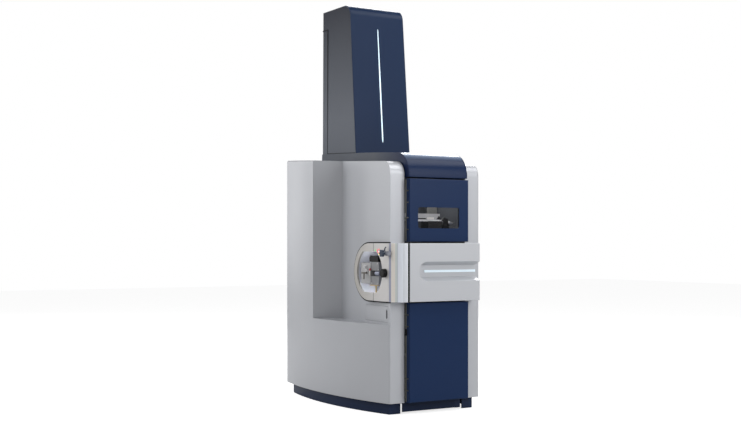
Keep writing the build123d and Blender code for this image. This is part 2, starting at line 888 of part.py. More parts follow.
def door_tray(bottom, top):
    height_ = top - bottom
    middle = (bottom + top) / 2
    slot_y = (door_back + door_front) / 2 + door_edge_radius + frame_play
    slot_depth = door_back - door_front - 2 * door_edge_radius + 2 * frame_play
    with BuildPart() as tray:
        with BuildSketch(Plane.XZ.offset(-door_front)):
            with Locations((0, middle)):
                Rectangle(2 * door_half_width, height_)
        extrude(amount=door_front - door_back)
        fillet(tray.faces().sort_by(Axis.Y)[0].edges(), radius=door_edge_radius)
        with BuildSketch(Plane.XZ.offset(-door_back)):
            with Locations((0, middle)):
                Rectangle(2 * (door_half_width - sheet), height_ - 2 * sheet)
        extrude(amount=door_back - door_front - sheet, mode=Mode.SUBTRACT)
        for z in (bottom + hinge_inset, top - hinge_inset):
            with BuildSketch(Plane.XY.offset(z - hinge_length / 2)):
                with Locations((hinge_x, (door_front + sheet + hinge_y + hinge_block / 2) / 2)):
                    Rectangle(hinge_block, hinge_y + hinge_block / 2 - door_front - sheet)
            extrude(amount=hinge_length)
            with BuildSketch(Plane.XY.offset(z - hinge_length / 2)):
                with Locations((hinge_x, hinge_y)):
                    Circle(pin_radius + pin_clearance)
            extrude(amount=hinge_length, mode=Mode.SUBTRACT)
            for side in (-1, 1):
                with BuildSketch(Plane.YZ.offset(-door_half_width)):
                    with Locations((slot_y, z + side * (leaf_half + hinge_leaf / 2))):
                        Rectangle(slot_depth, hinge_leaf + leaf_slot_play)
                extrude(amount=sheet, mode=Mode.SUBTRACT)
    return tray.part


def hinge_bracket(bottom, top, name):
    web_left = -bay_half + seat
    with BuildPart() as bracket:
        for z in (bottom + hinge_inset, top - hinge_inset):
            for side in (-1, 1):
                start = z + side * leaf_half
                with BuildSketch(Plane.XY.offset(start)):
                    with BuildLine():
                        Polyline(
                            (block_left + leaf_relief, hinge_y - hinge_block / 2),
                            (block_left + hinge_block, hinge_y - hinge_block / 2),
                            (block_left + hinge_block, frame_front + 3 * hinge_block),
                            (web_left, frame_front + 3 * hinge_block),
                            (web_left, frame_front + hinge_block),
                            (block_left + leaf_relief, frame_front - frame_play),
                            close=True,
                        )
                    make_face()
                extrude(amount=side * hinge_leaf)
            with BuildSketch(Plane.XY.offset(z - leaf_half)):
                with Locations((web_left + sheet / 2, frame_front + 2 * hinge_block)):
                    Rectangle(sheet, 2 * hinge_block)
            extrude(amount=2 * leaf_half)
            with BuildSketch(Plane.XY.offset(z - leaf_half)):
                with Locations((hinge_x, hinge_y)):
                    Circle(pin_radius)
            extrude(amount=2 * leaf_half)
    bracket.part.label = name
    return bracket.part


lower_tray = door_tray(lower_door_bottom, lower_door_top)
upper_tray = door_tray(upper_door_bottom, upper_door_top)
window_x = (window_left + window_right) / 2
window_z = (window_bottom + window_top) / 2
window_width = window_right - window_left
window_height = window_top - window_bottom
glass_front = door_front + sheet + seat
with BuildPart() as lower_door:
    add(lower_tray)
lower_door.part.label = "lower_door"

with BuildPart() as upper_door:
    add(upper_tray)
    with BuildSketch(Plane.XZ.offset(-door_front)):
        with Locations((window_x, window_z)):
            RectangleRounded(window_width, window_height, window_radius)
    extrude(amount=-2 * sheet, mode=Mode.SUBTRACT)
upper_door.part.label = "upper_door"

with BuildPart() as window_glass:
    with BuildSketch(Plane.XZ.offset(-glass_front)):
        with Locations((window_x, window_z)):
            RectangleRounded(window_width + 2 * window_lap, window_height + 2 * window_lap, window_radius)
    extrude(amount=-glass_thickness)
window_glass.part.label = "window_glass"

bezel_lap = 2 * window_lap
with BuildPart() as window_bezel:
    with BuildSketch(Plane.XZ.offset(-glass_front)):
        with Locations((window_x, window_z)):
            RectangleRounded(window_width + 2 * bezel_lap, window_height + 2 * bezel_lap, window_radius)
            RectangleRounded(
                window_width + 2 * window_lap + 2 * seat,
                window_height + 2 * window_lap + 2 * seat,
                window_radius,
                mode=Mode.SUBTRACT,
            )
    extrude(amount=-glass_thickness - seat)
    with BuildSketch(Plane.XZ.offset(-(glass_front + glass_thickness + seat))):
        with Locations((window_x, window_z)):
            RectangleRounded(window_width + 2 * bezel_lap, window_height + 2 * bezel_lap, window_radius)
            RectangleRounded(window_width, window_height, window_radius, mode=Mode.SUBTRACT)
    extrude(amount=-sheet)
window_bezel.part.label = "window_bezel"

upper_hinge = hinge_bracket(upper_door_bottom, upper_door_top, "upper_hinge")
lower_hinge = hinge_bracket(lower_door_bottom, lower_door_top, "lower_hinge")

with BuildPart() as lower_door_buffer:
    with BuildSketch(Plane.YZ.offset(-door_half_width - seat)):
        with Locations((door_back - buffer_inset, catch_z)):
            Rectangle(catch_depth, catch_height)
    extrude(amount=-buffer_height)
    fillet(lower_door_buffer.faces().sort_by(Axis.X)[0].edges(), radius=buffer_round)
lower_door_buffer.part.label = "lower_door_buffer"

# hatch in the notch wall, on two short pins at its rear edge
hatch_pivot = hatch_rear + shell_wall
hatch_mid = -shell_wall / 2
hatch_bore = hatch_pin_reach + hatch_pin_end
hatch_pin_plane = Plane(
    origin=wall_plane.from_local_coords(Vector(hatch_pivot, 0, hatch_mid)),
    x_dir=(1, 0, 0),
    z_dir=(0, 0, 1),
)
with BuildPart() as hatch:
    with BuildSketch(wall_plane):
        with Locations((hatch_rear + hatch_length / 2, hatch_bottom + hatch_height / 2)):
            Rectangle(hatch_length, hatch_height)
        with Locations((hatch_rear + hatch_length - hatch_slot_width, hatch_bottom + hatch_height / 2)):
            SlotOverall(hatch_slot_length, hatch_slot_width, rotation=90, mode=Mode.SUBTRACT)
    extrude(amount=-shell_wall)
    for z, amount in ((hatch_bottom, hatch_bore), (hatch_bottom + hatch_height, -hatch_bore)):
        with BuildSketch(hatch_pin_plane.offset(z)):
            Circle(hatch_pin_radius + pin_clearance)
        extrude(amount=amount, mode=Mode.SUBTRACT)
hatch.part.label = "hatch"

with BuildPart() as hatch_pins:
    for z in (hatch_bottom, hatch_bottom + hatch_height):
        with BuildSketch(hatch_pin_plane.offset(z - hatch_pin_reach)):
            Circle(hatch_pin_radius)
        extrude(amount=2 * hatch_pin_reach)
hatch_pins.part.label = "hatch_pins"

with BuildPart() as left_shell_bored:
    add(left_shell.part)
    for z in (hatch_bottom, hatch_bottom + hatch_height):
        with BuildSketch(hatch_pin_plane.offset(z - hatch_bore)):
            Circle(hatch_pin_radius + pin_clearance)
        extrude(amount=2 * hatch_bore, mode=Mode.SUBTRACT)
left_shell_bored.part.label = "left_shell"

# roof hood: one moulding with the big front roll, and a side skirt along each edge
hood_rear = shell_rear


def hood_profile(grow):
    front = hood_front - grow
    rear = hood_rear + grow
    bottom = hood_bottom - grow
    roll_start = hood_roll_top - hood_roll
    roll_end = (hood_front + hood_roll, hood_roll_top + grow)
    with BuildSketch() as profile:
        with BuildLine():
            Line((front, bottom), (front, roll_start))
            RadiusArc((front, roll_start), roll_end, hood_roll + grow)
            ThreePointArc(roll_end, (hood_mid_y, hood_mid_z + grow), (rear, hood_rear_z + grow))
            Polyline((rear, hood_rear_z + grow), (rear, bottom), (front, bottom))
        make_face()
    return profile.sketch


hood_outer = hood_profile(0.0)
hood_inner = hood_profile(-sheet)
hood_clear = hood_profile(seat)
hood_half = hood_half_width - skirt_sheet - seat
with BuildPart() as roof_hood:
    with BuildSketch(Plane.YZ):
        add(hood_outer)
    extrude(amount=hood_half, both=True)
    with BuildSketch(Plane.YZ):
        add(hood_inner)
    extrude(amount=hood_half - sheet, both=True, mode=Mode.SUBTRACT)
    with BuildSketch(Plane.XY.offset(hood_bottom)):
        with Locations((0, (hood_front + hood_rear) / 2)):
            Rectangle(2 * (hood_half - sheet), hood_rear - hood_front - 2 * sheet)
    extrude(amount=sheet, mode=Mode.SUBTRACT)
    with BuildSketch(Plane.XY.offset(hood_bottom)):
        with Locations((0, tube_y)):
            Circle(tube_radius + cup_clearance)
    extrude(amount=far, mode=Mode.SUBTRACT)
roof_hood.part.label = "roof_hood"

skirt_bodies = {}
for name, side in {"roof_skirt_left": -1, "roof_skirt_right": 1}.items():
    with BuildPart() as skirt:
        with BuildSketch(Plane.YZ.offset(side * (hood_half + seat))):
            add(hood_outer)
        extrude(amount=side * skirt_sheet)
    skirt.part.label = name
    skirt_bodies[name] = skirt.part

# tower: a front cover with a slot, a side cover, a rear strip
tower_lean = (tower_lean_y - tower_front_y) / (tower_lean_z - tower_front_z)
tower_foot_z = hood_bottom + hood_roll


def tower_profile(inset):
    with BuildSketch() as profile:
        with BuildLine():
            Polyline(
                (tower_front_y + (tower_foot_z - tower_front_z) * tower_lean + inset, tower_foot_z),
                (tower_front_y + (height - tower_front_z) * tower_lean + inset, height - inset),
                (tower_rear_y - inset, height - inset),
                (tower_rear_y - inset, tower_foot_z),
                close=True,
            )
        make_face()
        top_front = profile.vertices().group_by(Axis.Y)[-1].sort_by(Axis.X)[0]
        fillet(top_front, radius=tower_roll - inset)
    return profile.sketch


tower_outer = tower_profile(0.0)
tower_under_skin = tower_profile(tower_skin)
tower_under_gap = tower_profile(tower_skin + seat)
tower_space = tower_profile(tower_skin + seat + sheet)
tower_recess = tower_profile(light_bar_recess)
side_planes = [
    Plane(
        origin=(side * tower_half_bottom, 0, tower_front_z),
        z_dir=(side * (height - tower_front_z), 0, tower_half_bottom - tower_half_top),
    )
    for side in (-1, 1)
]
hollow_half = tower_half_top - sheet

with BuildPart() as tower_front_cover:
    with BuildSketch(Plane.YZ):
        add(tower_outer)
        add(tower_under_skin, mode=Mode.SUBTRACT)
    extrude(amount=tower_half_bottom, both=True)
    split(bisect_by=Plane.XZ.offset(-tower_top_seam), keep=Keep.TOP)
    for plane in side_planes:
        split(bisect_by=plane, keep=Keep.BOTTOM)
    with BuildSketch(Plane.YZ):
        add(hood_clear)
    extrude(amount=tower_half_bottom, both=True, mode=Mode.SUBTRACT)
    with BuildSketch(Plane.XZ):
        with BuildLine():
            Polyline(
                (-light_bar_half_bottom, light_bar_bottom),
                (light_bar_half_bottom, light_bar_bottom),
                (light_bar_half_top, light_bar_top),
                (-light_bar_half_top, light_bar_top),
                close=True,
            )
        make_face()
    extrude(amount=tower_rear_y, both=True, mode=Mode.SUBTRACT)
tower_front_cover.part.label = "tower_front_cover"

with BuildPart() as tower_light_bar:
    with BuildSketch(Plane.YZ):
        add(tower_recess)
        add(tower_under_skin, mode=Mode.SUBTRACT)
    extrude(amount=light_bar_half_top, both=True)
    with BuildSketch(Plane.XZ) as bar_outline:
        with BuildLine():
            Polyline(
                (-light_bar_half_bottom, light_bar_bottom),
                (light_bar_half_bottom, light_bar_bottom),
                (light_bar_half_top, light_bar_top),
                (-light_bar_half_top, light_bar_top),
                close=True,
            )
        make_face()
        offset(amount=-seat, kind=Kind.INTERSECTION)
    extrude(amount=-tower_top_seam, both=True, mode=Mode.INTERSECT)
tower_light_bar.part.label = "tower_light_bar"

with BuildPart() as tower_side_cover:
    with BuildSketch(Plane.YZ):
        add(tower_outer)
    extrude(amount=tower_half_bottom, both=True)
    for plane in side_planes:
        split(bisect_by=plane, keep=Keep.BOTTOM)
    with BuildSketch(Plane.YZ) as skin_room:
        add(tower_outer)
        add(tower_under_gap, mode=Mode.SUBTRACT)
        with Locations((tower_top_seam + seat, tower_foot_z)):
            Rectangle(far, far, align=(Align.MIN, Align.MIN), mode=Mode.SUBTRACT)
    extrude(amount=tower_half_bottom, both=True, mode=Mode.SUBTRACT)
    with BuildSketch(Plane.YZ):
        add(tower_space)
    extrude(amount=hollow_half, both=True, mode=Mode.SUBTRACT)
    with BuildSketch(Plane.YZ):
        with Locations((tower_seam_y, 0)):
            Rectangle(far, tower_seam_top, align=(Align.MIN, Align.MIN))
    extrude(amount=tower_half_bottom, both=True, mode=Mode.SUBTRACT)
    with BuildSketch(Plane.YZ):
        add(hood_clear)
    extrude(amount=tower_half_bottom, both=True, mode=Mode.SUBTRACT)
tower_side_cover.part.label = "tower_side_cover"

with BuildPart() as tower_rear_panel:
    with BuildSketch(Plane.YZ):
        add(tower_outer)
    extrude(amount=tower_half_bottom, both=True)
    for plane in side_planes:
        split(bisect_by=plane, keep=Keep.BOTTOM)
    with BuildSketch(Plane.YZ):
        with Locations((tower_seam_y + tower_joint, 0)):
            Rectangle(far, tower_seam_top - tower_joint, align=(Align.MIN, Align.MIN))
    extrude(amount=tower_half_bottom, both=True, mode=Mode.INTERSECT)
    with BuildSketch(Plane.YZ):
        with Locations((tower_rear_y - sheet, tower_seam_top - sheet - tower_joint)):
            Rectangle(far, far, align=(Align.MAX, Align.MAX))
    extrude(amount=hollow_half, both=True, mode=Mode.SUBTRACT)
    with BuildSketch(Plane.YZ):
        add(hood_clear)
    extrude(amount=tower_half_bottom, both=True, mode=Mode.SUBTRACT)
tower_rear_panel.part.label = "tower_rear_panel"

# flight tube and the mirror stack hung inside it
tube_axis = Axis((0, tube_y, 0), (0, 0, 1))
with BuildPart() as flight_tube:
    with BuildSketch(Plane.XZ.offset(-tube_y)):
        with BuildLine():
            Polyline(
                (tube_radius - tube_wall, tube_bottom),
                (flange_radius, tube_bottom),
                (flange_radius, tube_bottom + flange_thickness),
                (tube_radius, tube_bottom + flange_thickness),
                (tube_radius, tube_top - flange_thickness),
                (flange_radius, tube_top - flange_thickness),
                (flange_radius, tube_top),
                (0, tube_top),
                (0, tube_top - flange_thickness),
                (tube_radius - tube_wall, tube_top - flange_thickness),
                close=True,
            )
        make_face()
    revolve(axis=tube_axis)
flight_tube.part.label = "flight_tube"

mirror_top = tube_top - flange_thickness - seat
mirror_height = mirror_top_gap + mirror_rings * mirror_pitch
with BuildPart() as mirror_stack:
    for ring in range(mirror_rings):
        with BuildSketch(Plane.XY.offset(mirror_top - mirror_top_gap - ring * mirror_pitch)):
            with Locations((0, tube_y)):
                Circle(mirror_outer)
                Circle(mirror_inner, mode=Mode.SUBTRACT)
        extrude(amount=-mirror_ring)
    with BuildSketch(Plane.XY.offset(mirror_top)):
        with Locations((0, tube_y)):
            with PolarLocations(mirror_rod_circle, 3):
                Circle(mirror_rod_radius)
    extrude(amount=-mirror_height)
mirror_stack.part.label = "mirror_stack"

# instruments behind the window
deck_top = upper_deck + frame_wall / 2 + seat
with BuildPart() as transfer_line:
    with BuildSketch(Plane.YZ.offset(line_left)):
        with Locations((line_y, line_bottom + line_lip)):
            Rectangle(line_depth, line_height, align=(Align.CENTER, Align.MIN))
        with Locations((line_y + line_depth / 2, line_bottom)):
            Rectangle(line_depth + line_lip_reach, line_lip, align=(Align.MAX, Align.MIN))
    extrude(amount=line_right - line_left)
    with BuildSketch(Plane.YZ.offset(line_right)):
        with Locations((line_y + line_depth / 2, line_bottom)):
            Rectangle(line_depth + line_lip_reach, line_lip, align=(Align.MAX, Align.MIN))
    extrude(amount=lip_right - line_right)
transfer_line.part.label = "transfer_line"

with BuildPart() as line_stand:
    with BuildSketch(Plane.XZ.offset(-(line_y - line_depth / 2))):
        with BuildLine():
            Polyline(
                (clamp_x - clamp_column, deck_top),
                (clamp_x + clamp_column, deck_top),
                (clamp_x + clamp_column, clamp_shoulder),
                (clamp_x + clamp_half, clamp_shoulder),
                (clamp_x, clamp_top),
                (clamp_x - clamp_half, clamp_shoulder),
                (clamp_x - clamp_column, clamp_shoulder),
                close=True,
            )
        make_face()
    extrude(amount=-line_depth)
    with BuildSketch(Plane.YZ.offset(clamp_x)):
        with Locations((line_y, nozzle_z)):
            Circle(nozzle_neck)
    extrude(amount=far, mode=Mode.SUBTRACT)
line_stand.part.label = "line_stand"

line_top = line_bottom + line_lip
with BuildPart() as line_wedge:
    with BuildSketch(Plane.XZ.offset(-(line_y - line_depth / 2 - seat))):
        with BuildLine():
            Polyline(
                (wedge_x - wedge_half, line_top + seat),
                (wedge_x + wedge_half, line_top + seat),
                (wedge_x, line_top + 1.5 * wedge_half),
                close=True,
            )
        make_face()
    extrude(amount=line_lip_reach - 2 * seat)
line_wedge.part.label = "line_wedge"

with BuildPart() as inlet_nozzle:
    with BuildSketch(Plane.XZ.offset(-line_y)):
        with BuildLine():
            nozzle_base = clamp_x + clamp_half + seat
            Polyline(
                (clamp_x + seat, nozzle_z),
                (clamp_x + seat, nozzle_z + nozzle_neck - seat),
                (nozzle_base, nozzle_z + nozzle_neck - seat),
                (nozzle_base, nozzle_z + nozzle_radius),
                (nozzle_base + nozzle_shoulder, nozzle_z + nozzle_radius),
                (nozzle_base + nozzle_taper, nozzle_z + nozzle_tip_radius),
                (nozzle_base + nozzle_reach, nozzle_z + nozzle_tip_radius),
                (nozzle_base + nozzle_reach, nozzle_z),
                close=True,
            )
        make_face()
    revolve(axis=Axis((0, line_y, nozzle_z), (1, 0, 0)))
inlet_nozzle.part.label = "inlet_nozzle"

with BuildPart() as detector_module:
    with BuildSketch(Plane.XY.offset(deck_top)):
        with Locations(((module_left + module_right) / 2, line_y)):
            Rectangle(module_right - module_left, module_depth)
    extrude(amount=line_bottom - seat - deck_top)
    fillet(detector_module.edges().filter_by(Axis.Z), radius=module_round)
detector_module.part.label = "detector_module"

panel_top = frame_top - frame_wall - seat
with BuildPart() as compartment_panel:
    with BuildSketch(Plane.XZ.offset(-pale_panel_y)):
        with Locations(((pale_panel_left + bay_half - seat) / 2, (deck_top + panel_top) / 2)):
            Rectangle(bay_half - seat - pale_panel_left, panel_top - deck_top)
    extrude(amount=-sheet)
compartment_panel.part.label = "compartment_panel"

# turbo pump with cooling fins, and the power supply
floor_top = frame_bottom + frame_wall + seat
fin_pitch = pump_height / (2 * pump_fins + 3)
with BuildPart() as turbo_pump:
    with BuildSketch(Plane.XY.offset(floor_top)):
        with Locations((pump_x, pump_y)):
            Circle(pump_radius)
    extrude(amount=pump_height)
    with BuildSketch(Plane.XY.offset(floor_top + pump_height)):
        with Locations((pump_x, pump_y)):
            Circle(pump_flange_radius)
    extrude(amount=-fin_pitch)
    for fin in range(pump_fins):
        with BuildSketch(Plane.XY.offset(floor_top + (2 * fin + 1) * fin_pitch)):
            with Locations((pump_x, pump_y)):
                Circle(pump_radius)
                Circle(pump_radius - pump_fin_depth, mode=Mode.SUBTRACT)
        extrude(amount=fin_pitch, mode=Mode.SUBTRACT)
turbo_pump.part.label = "turbo_pump"

supply_front = frame_front + 3 * hinge_block
with BuildPart() as power_supply:
    with BuildSketch(Plane.XY.offset(floor_top)):
        with Locations((supply_x, supply_front + supply_depth / 2)):
            Rectangle(supply_width, supply_depth)
    extrude(amount=supply_height)
    with BuildSketch(Plane.XZ.offset(-supply_front)):
        with Locations((supply_x, floor_top + supply_height / 2)):
            with GridLocations(0, supply_slot_pitch, 1, supply_slots):
                SlotOverall(supply_slot_length, supply_slot_width)
    extrude(amount=-sheet, mode=Mode.SUBTRACT)
power_supply.part.label = "power_supply"

# rear panel with louvres and the fan grille, and what is fixed to it
panel_back = frame_rear + seat
panel_face = panel_back + rear_sheet
fan_radius = fan_size / 2 - fan_wall
with BuildPart() as rear_panel:
    with BuildSketch(Plane.XZ.offset(-panel_back)):
        with Locations((0, (frame_bottom + frame_top) / 2)):
            Rectangle(2 * bay_half, frame_top - frame_bottom)
        with Locations((0, louvre_bottom + louvre_count * louvre_pitch / 2)):
            with GridLocations(0, louvre_pitch, 1, louvre_count):
                SlotOverall(louvre_width, louvre_height, mode=Mode.SUBTRACT)
        for row in range(fan_slots):
            offset_z = (row - (fan_slots - 1) / 2) * fan_slot_pitch
            half_chord = (fan_blade_tip**2 - offset_z**2) ** 0.5
            with Locations((fan_x, fan_z + offset_z)):
                SlotOverall(2 * half_chord, fan_slot_width, mode=Mode.SUBTRACT)
        with Locations((port_x, port_z)):
            Circle(port_bore, mode=Mode.SUBTRACT)
        with Locations((switch_x, inlet_z)):
            Rectangle(switch_width, switch_height, mode=Mode.SUBTRACT)
    extrude(amount=-rear_sheet)
rear_panel.part.label = "rear_panel"

with BuildPart() as exhaust_port:
    with BuildSketch(Plane.XZ.offset(-(panel_face + seat))):
        with Locations((port_x, port_z)):
            Circle(port_flange_radius)
    extrude(amount=-port_flange)
    with BuildSketch(Plane.XZ.offset(-(panel_face + seat))):
        with Locations((port_x, port_z)):
            Circle(port_radius)
    extrude(amount=-(rear_face - panel_face - seat))
    with BuildSketch(Plane.XZ.offset(-(panel_face + seat))):
        with Locations((port_x, port_z)):
            Circle(port_bore)
    extrude(amount=-far, mode=Mode.SUBTRACT)
exhaust_port.part.label = "exhaust_port"

with BuildPart() as gas_ports:
    with BuildSketch(Plane.XZ.offset(-(panel_face + seat))):
        with Locations((0, gas_z)):
            with GridLocations(gas_pitch, 0, 3, 1):
                RegularPolygon(gas_nut_radius, 6)
    extrude(amount=-gas_radius)
    with BuildSketch(Plane.XZ.offset(-(panel_face + seat))):
        with Locations((0, gas_z)):
            with GridLocations(gas_pitch, 0, 3, 1):
                Circle(gas_radius)
    extrude(amount=-gas_length)
    with BuildSketch(Plane.XZ.offset(-(panel_face + seat + gas_radius))):
        with Locations((0, gas_z)):
            with GridLocations(gas_pitch, 0, 3, 1):
                Circle(gas_bore)
    extrude(amount=-gas_length, mode=Mode.SUBTRACT)
gas_ports.part.label = "gas_ports"

with BuildPart() as mains_inlet:
    with BuildSketch(Plane.XZ.offset(-(panel_face + seat))):
        with Locations((inlet_x, inlet_z)):
            RectangleRounded(inlet_width, inlet_height, inlet_round)
    extrude(amount=-inlet_depth)
    with BuildSketch(Plane.XZ.offset(-(panel_face + seat + sheet))):
        with Locations((inlet_x, inlet_z)):
            RectangleRounded(inlet_width - 4 * sheet, inlet_height - 4 * sheet, inlet_socket_round)
            with GridLocations(inlet_width / 5, 0, 3, 1):
                Rectangle(sheet, 2 * sheet, mode=Mode.SUBTRACT)
    extrude(amount=-inlet_depth, mode=Mode.SUBTRACT)
mains_inlet.part.label = "mains_inlet"

rocker_half_height = switch_height / 2 - switch_bezel - switch_gap
rocker_half_width = switch_width / 2 - switch_bezel - switch_gap
with BuildPart() as switch_housing:
    with BuildSketch(Plane.XZ.offset(-(panel_face + seat))):
        with Locations((switch_x, inlet_z)):
            Rectangle(switch_width + 2 * switch_bezel, switch_height + 2 * switch_bezel)
            Rectangle(switch_width - 2 * switch_bezel, switch_height - 2 * switch_bezel, mode=Mode.SUBTRACT)
    extrude(amount=-2 * switch_bezel)
    with BuildSketch(Plane.YZ.offset(switch_x - switch_width / 2 + switch_bezel / 2)):
        with Locations((panel_face + seat + switch_bezel, inlet_z)):
            Circle(switch_pin_radius)
    extrude(amount=switch_width - switch_bezel)
switch_housing.part.label = "switch_housing"

rocker_y = panel_face + seat + switch_bezel
with BuildPart() as main_switch:
    with BuildSketch(Plane.YZ.offset(switch_x - rocker_half_width)):
        with BuildLine():
            Polyline(
                (rocker_y - rocker_back, inlet_z - rocker_half_height * rocker_back_share),
                (rocker_y + rocker_front, inlet_z - rocker_half_height + rocker_edge),
                (rocker_y + rocker_front - rocker_dish, inlet_z),
                (rocker_y + rocker_front, inlet_z + rocker_half_height - rocker_edge),
                (rocker_y - rocker_back, inlet_z + rocker_half_height * rocker_back_share),
                close=True,
            )
        make_face()
        with Locations((rocker_y, inlet_z)):
            Circle(switch_pin_radius + pin_clearance, mode=Mode.SUBTRACT)
    extrude(amount=2 * rocker_half_width)
main_switch.part.label = "main_switch"

fan_front = panel_back - seat - fan_depth
with BuildPart() as fan_housing:
    with BuildSketch(Plane.XZ.offset(-fan_front)):
        with Locations((fan_x, fan_z)):
            RectangleRounded(fan_size, fan_size, fan_corner)
            Circle(fan_radius, mode=Mode.SUBTRACT)
    extrude(amount=-fan_depth)
    with BuildSketch(Plane.XZ.offset(-fan_front)):
        with Locations((fan_x, fan_z)):
            Rectangle(2 * fan_radius + fan_wall, 2 * fan_wall)
            Rectangle(2 * fan_wall, 2 * fan_radius + fan_wall)
            Circle(fan_hub_radius)
    extrude(amount=-fan_wall)
    with BuildSketch(Plane.XZ.offset(-fan_front)):
        with Locations((fan_x, fan_z)):
            Circle(shaft_radius)
    extrude(amount=-fan_depth + fan_wall)
fan_housing.part.label = "fan_housing"

rotor_start = fan_front + fan_wall + fan_play
rotor_length = fan_depth - 3 * fan_wall
with BuildPart() as fan_rotor:
    with BuildSketch(Plane.XZ.offset(-rotor_start)):
        with Locations((fan_x, fan_z)):
            Circle(fan_hub_radius)
    extrude(amount=-rotor_length)
    with BuildSketch(Plane.XZ.offset(-rotor_start - blade_inset)):
        with Locations((fan_x, fan_z)):
            with PolarLocations((fan_hub_radius + fan_blade_tip - blade_inset) / 2, fan_blades):
                Rectangle(fan_blade_tip - fan_hub_radius + blade_inset, blade_thickness)
    extrude(amount=-rotor_length + 2 * blade_inset)
    with BuildSketch(Plane.XZ.offset(-rotor_start)):
        with Locations((fan_x, fan_z)):
            Circle(shaft_radius + shaft_clearance)
    extrude(amount=-far, mode=Mode.SUBTRACT)
fan_rotor.part.label = "fan_rotor"

for name, body in {
    "base_plinth": base_plinth.part,
    "kick_panel": kick_panel.part,
    "levelling_feet": levelling_feet.part,
    "cabinet_frame": cabinet_frame.part,
    "right_shell": right_shell.part,
    "left_shell": left_shell_bored.part,
    **housing_bodies,
    "source_corner": source_corner.part,
    "source_chamber": source_chamber.part,
    "source_block": source_block.part,
    "sampling_cone": sampling_cone.part,
    "source_cover": source_cover.part,
    "source_carrier": source_carrier.part,
    **thumb_bodies,
    "lock_lever": lock_lever.part,
    "black_knob": black_knob.part,
    "gas_valve_body": gas_valve_body.part,
    "star_knob": star_knob.part,
    "indicator_lights": indicator_lights.part,
    "block_post": block_post.part,
    "band_cover": band_cover.part,
    "band_light_bar": band_light_bar.part,
    "lower_door": lower_door.part,
    "upper_door": upper_door.part,
    "window_glass": window_glass.part,
    "window_bezel": window_bezel.part,
    "upper_hinge": upper_hinge,
    "lower_hinge": lower_hinge,
    "lower_door_buffer": lower_door_buffer.part,
    "hatch": hatch.part,
    "hatch_pins": hatch_pins.part,
    "roof_hood": roof_hood.part,
    **skirt_bodies,
    "tower_front_cover": tower_front_cover.part,
    "tower_light_bar": tower_light_bar.part,
    "tower_side_cover": tower_side_cover.part,
    "tower_rear_panel": tower_rear_panel.part,
    "flight_tube": flight_tube.part,
    "mirror_stack": mirror_stack.part,
    "transfer_line": transfer_line.part,
    "line_stand": line_stand.part,
    "line_wedge": line_wedge.part,
    "inlet_nozzle": inlet_nozzle.part,
    "detector_module": detector_module.part,
    "compartment_panel": compartment_panel.part,
    "turbo_pump": turbo_pump.part,
    "power_supply": power_supply.part,
    "rear_panel": rear_panel.part,
    "exhaust_port": exhaust_port.part,
    "gas_ports": gas_ports.part,
    "mains_inlet": mains_inlet.part,
    "switch_housing": switch_housing.part,
    "main_switch": main_switch.part,
    "fan_housing": fan_housing.part,
    "fan_rotor": fan_rotor.part,
}.items():
    export_step(body, f"parts/{name}.step")
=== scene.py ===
import json
import math

import bmesh
import bpy
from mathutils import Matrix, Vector


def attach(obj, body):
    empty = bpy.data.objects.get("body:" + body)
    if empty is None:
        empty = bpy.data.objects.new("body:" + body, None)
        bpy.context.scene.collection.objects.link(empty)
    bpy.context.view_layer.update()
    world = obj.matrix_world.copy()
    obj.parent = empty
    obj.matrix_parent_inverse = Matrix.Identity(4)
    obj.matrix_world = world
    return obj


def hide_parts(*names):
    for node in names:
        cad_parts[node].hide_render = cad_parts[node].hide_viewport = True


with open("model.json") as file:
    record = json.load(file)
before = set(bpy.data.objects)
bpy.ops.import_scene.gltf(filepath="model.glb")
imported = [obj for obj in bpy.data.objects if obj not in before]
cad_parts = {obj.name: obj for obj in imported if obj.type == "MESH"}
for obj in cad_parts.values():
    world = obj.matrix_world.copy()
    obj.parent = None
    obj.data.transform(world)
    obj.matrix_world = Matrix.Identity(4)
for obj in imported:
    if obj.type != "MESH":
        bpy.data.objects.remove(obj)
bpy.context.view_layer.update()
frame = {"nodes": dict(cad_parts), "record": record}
mm = 0.001


class Value:  # wraps a socket, so that shader maths reads as plain arithmetic
    def __init__(self, tree, socket):
        self.tree = tree
        self.socket = socket

    def math(self, operation, other=None, swap=False):
        node = self.tree.nodes.new("ShaderNodeMath")
        node.operation = operation
        first, second = (other, self) if swap else (self, other)
        for index, item in enumerate((first, second)):
            if isinstance(item, Value):
                self.tree.links.new(item.socket, node.inputs[index])
            elif item is not None:
                node.inputs[index].default_value = item
        return Value(self.tree, node.outputs[0])

    def __add__(self, other):
        return self.math("ADD", other)

    def __sub__(self, other):
        return self.math("SUBTRACT", other)

    def __rsub__(self, other):
        return self.math("SUBTRACT", other, swap=True)

    def __mul__(self, other):
        return self.math("MULTIPLY", other)

    def __truediv__(self, other):
        return self.math("DIVIDE", other)

    def clamped(self):
        return self.math("MAXIMUM", 0.0).math("MINIMUM", 1.0)


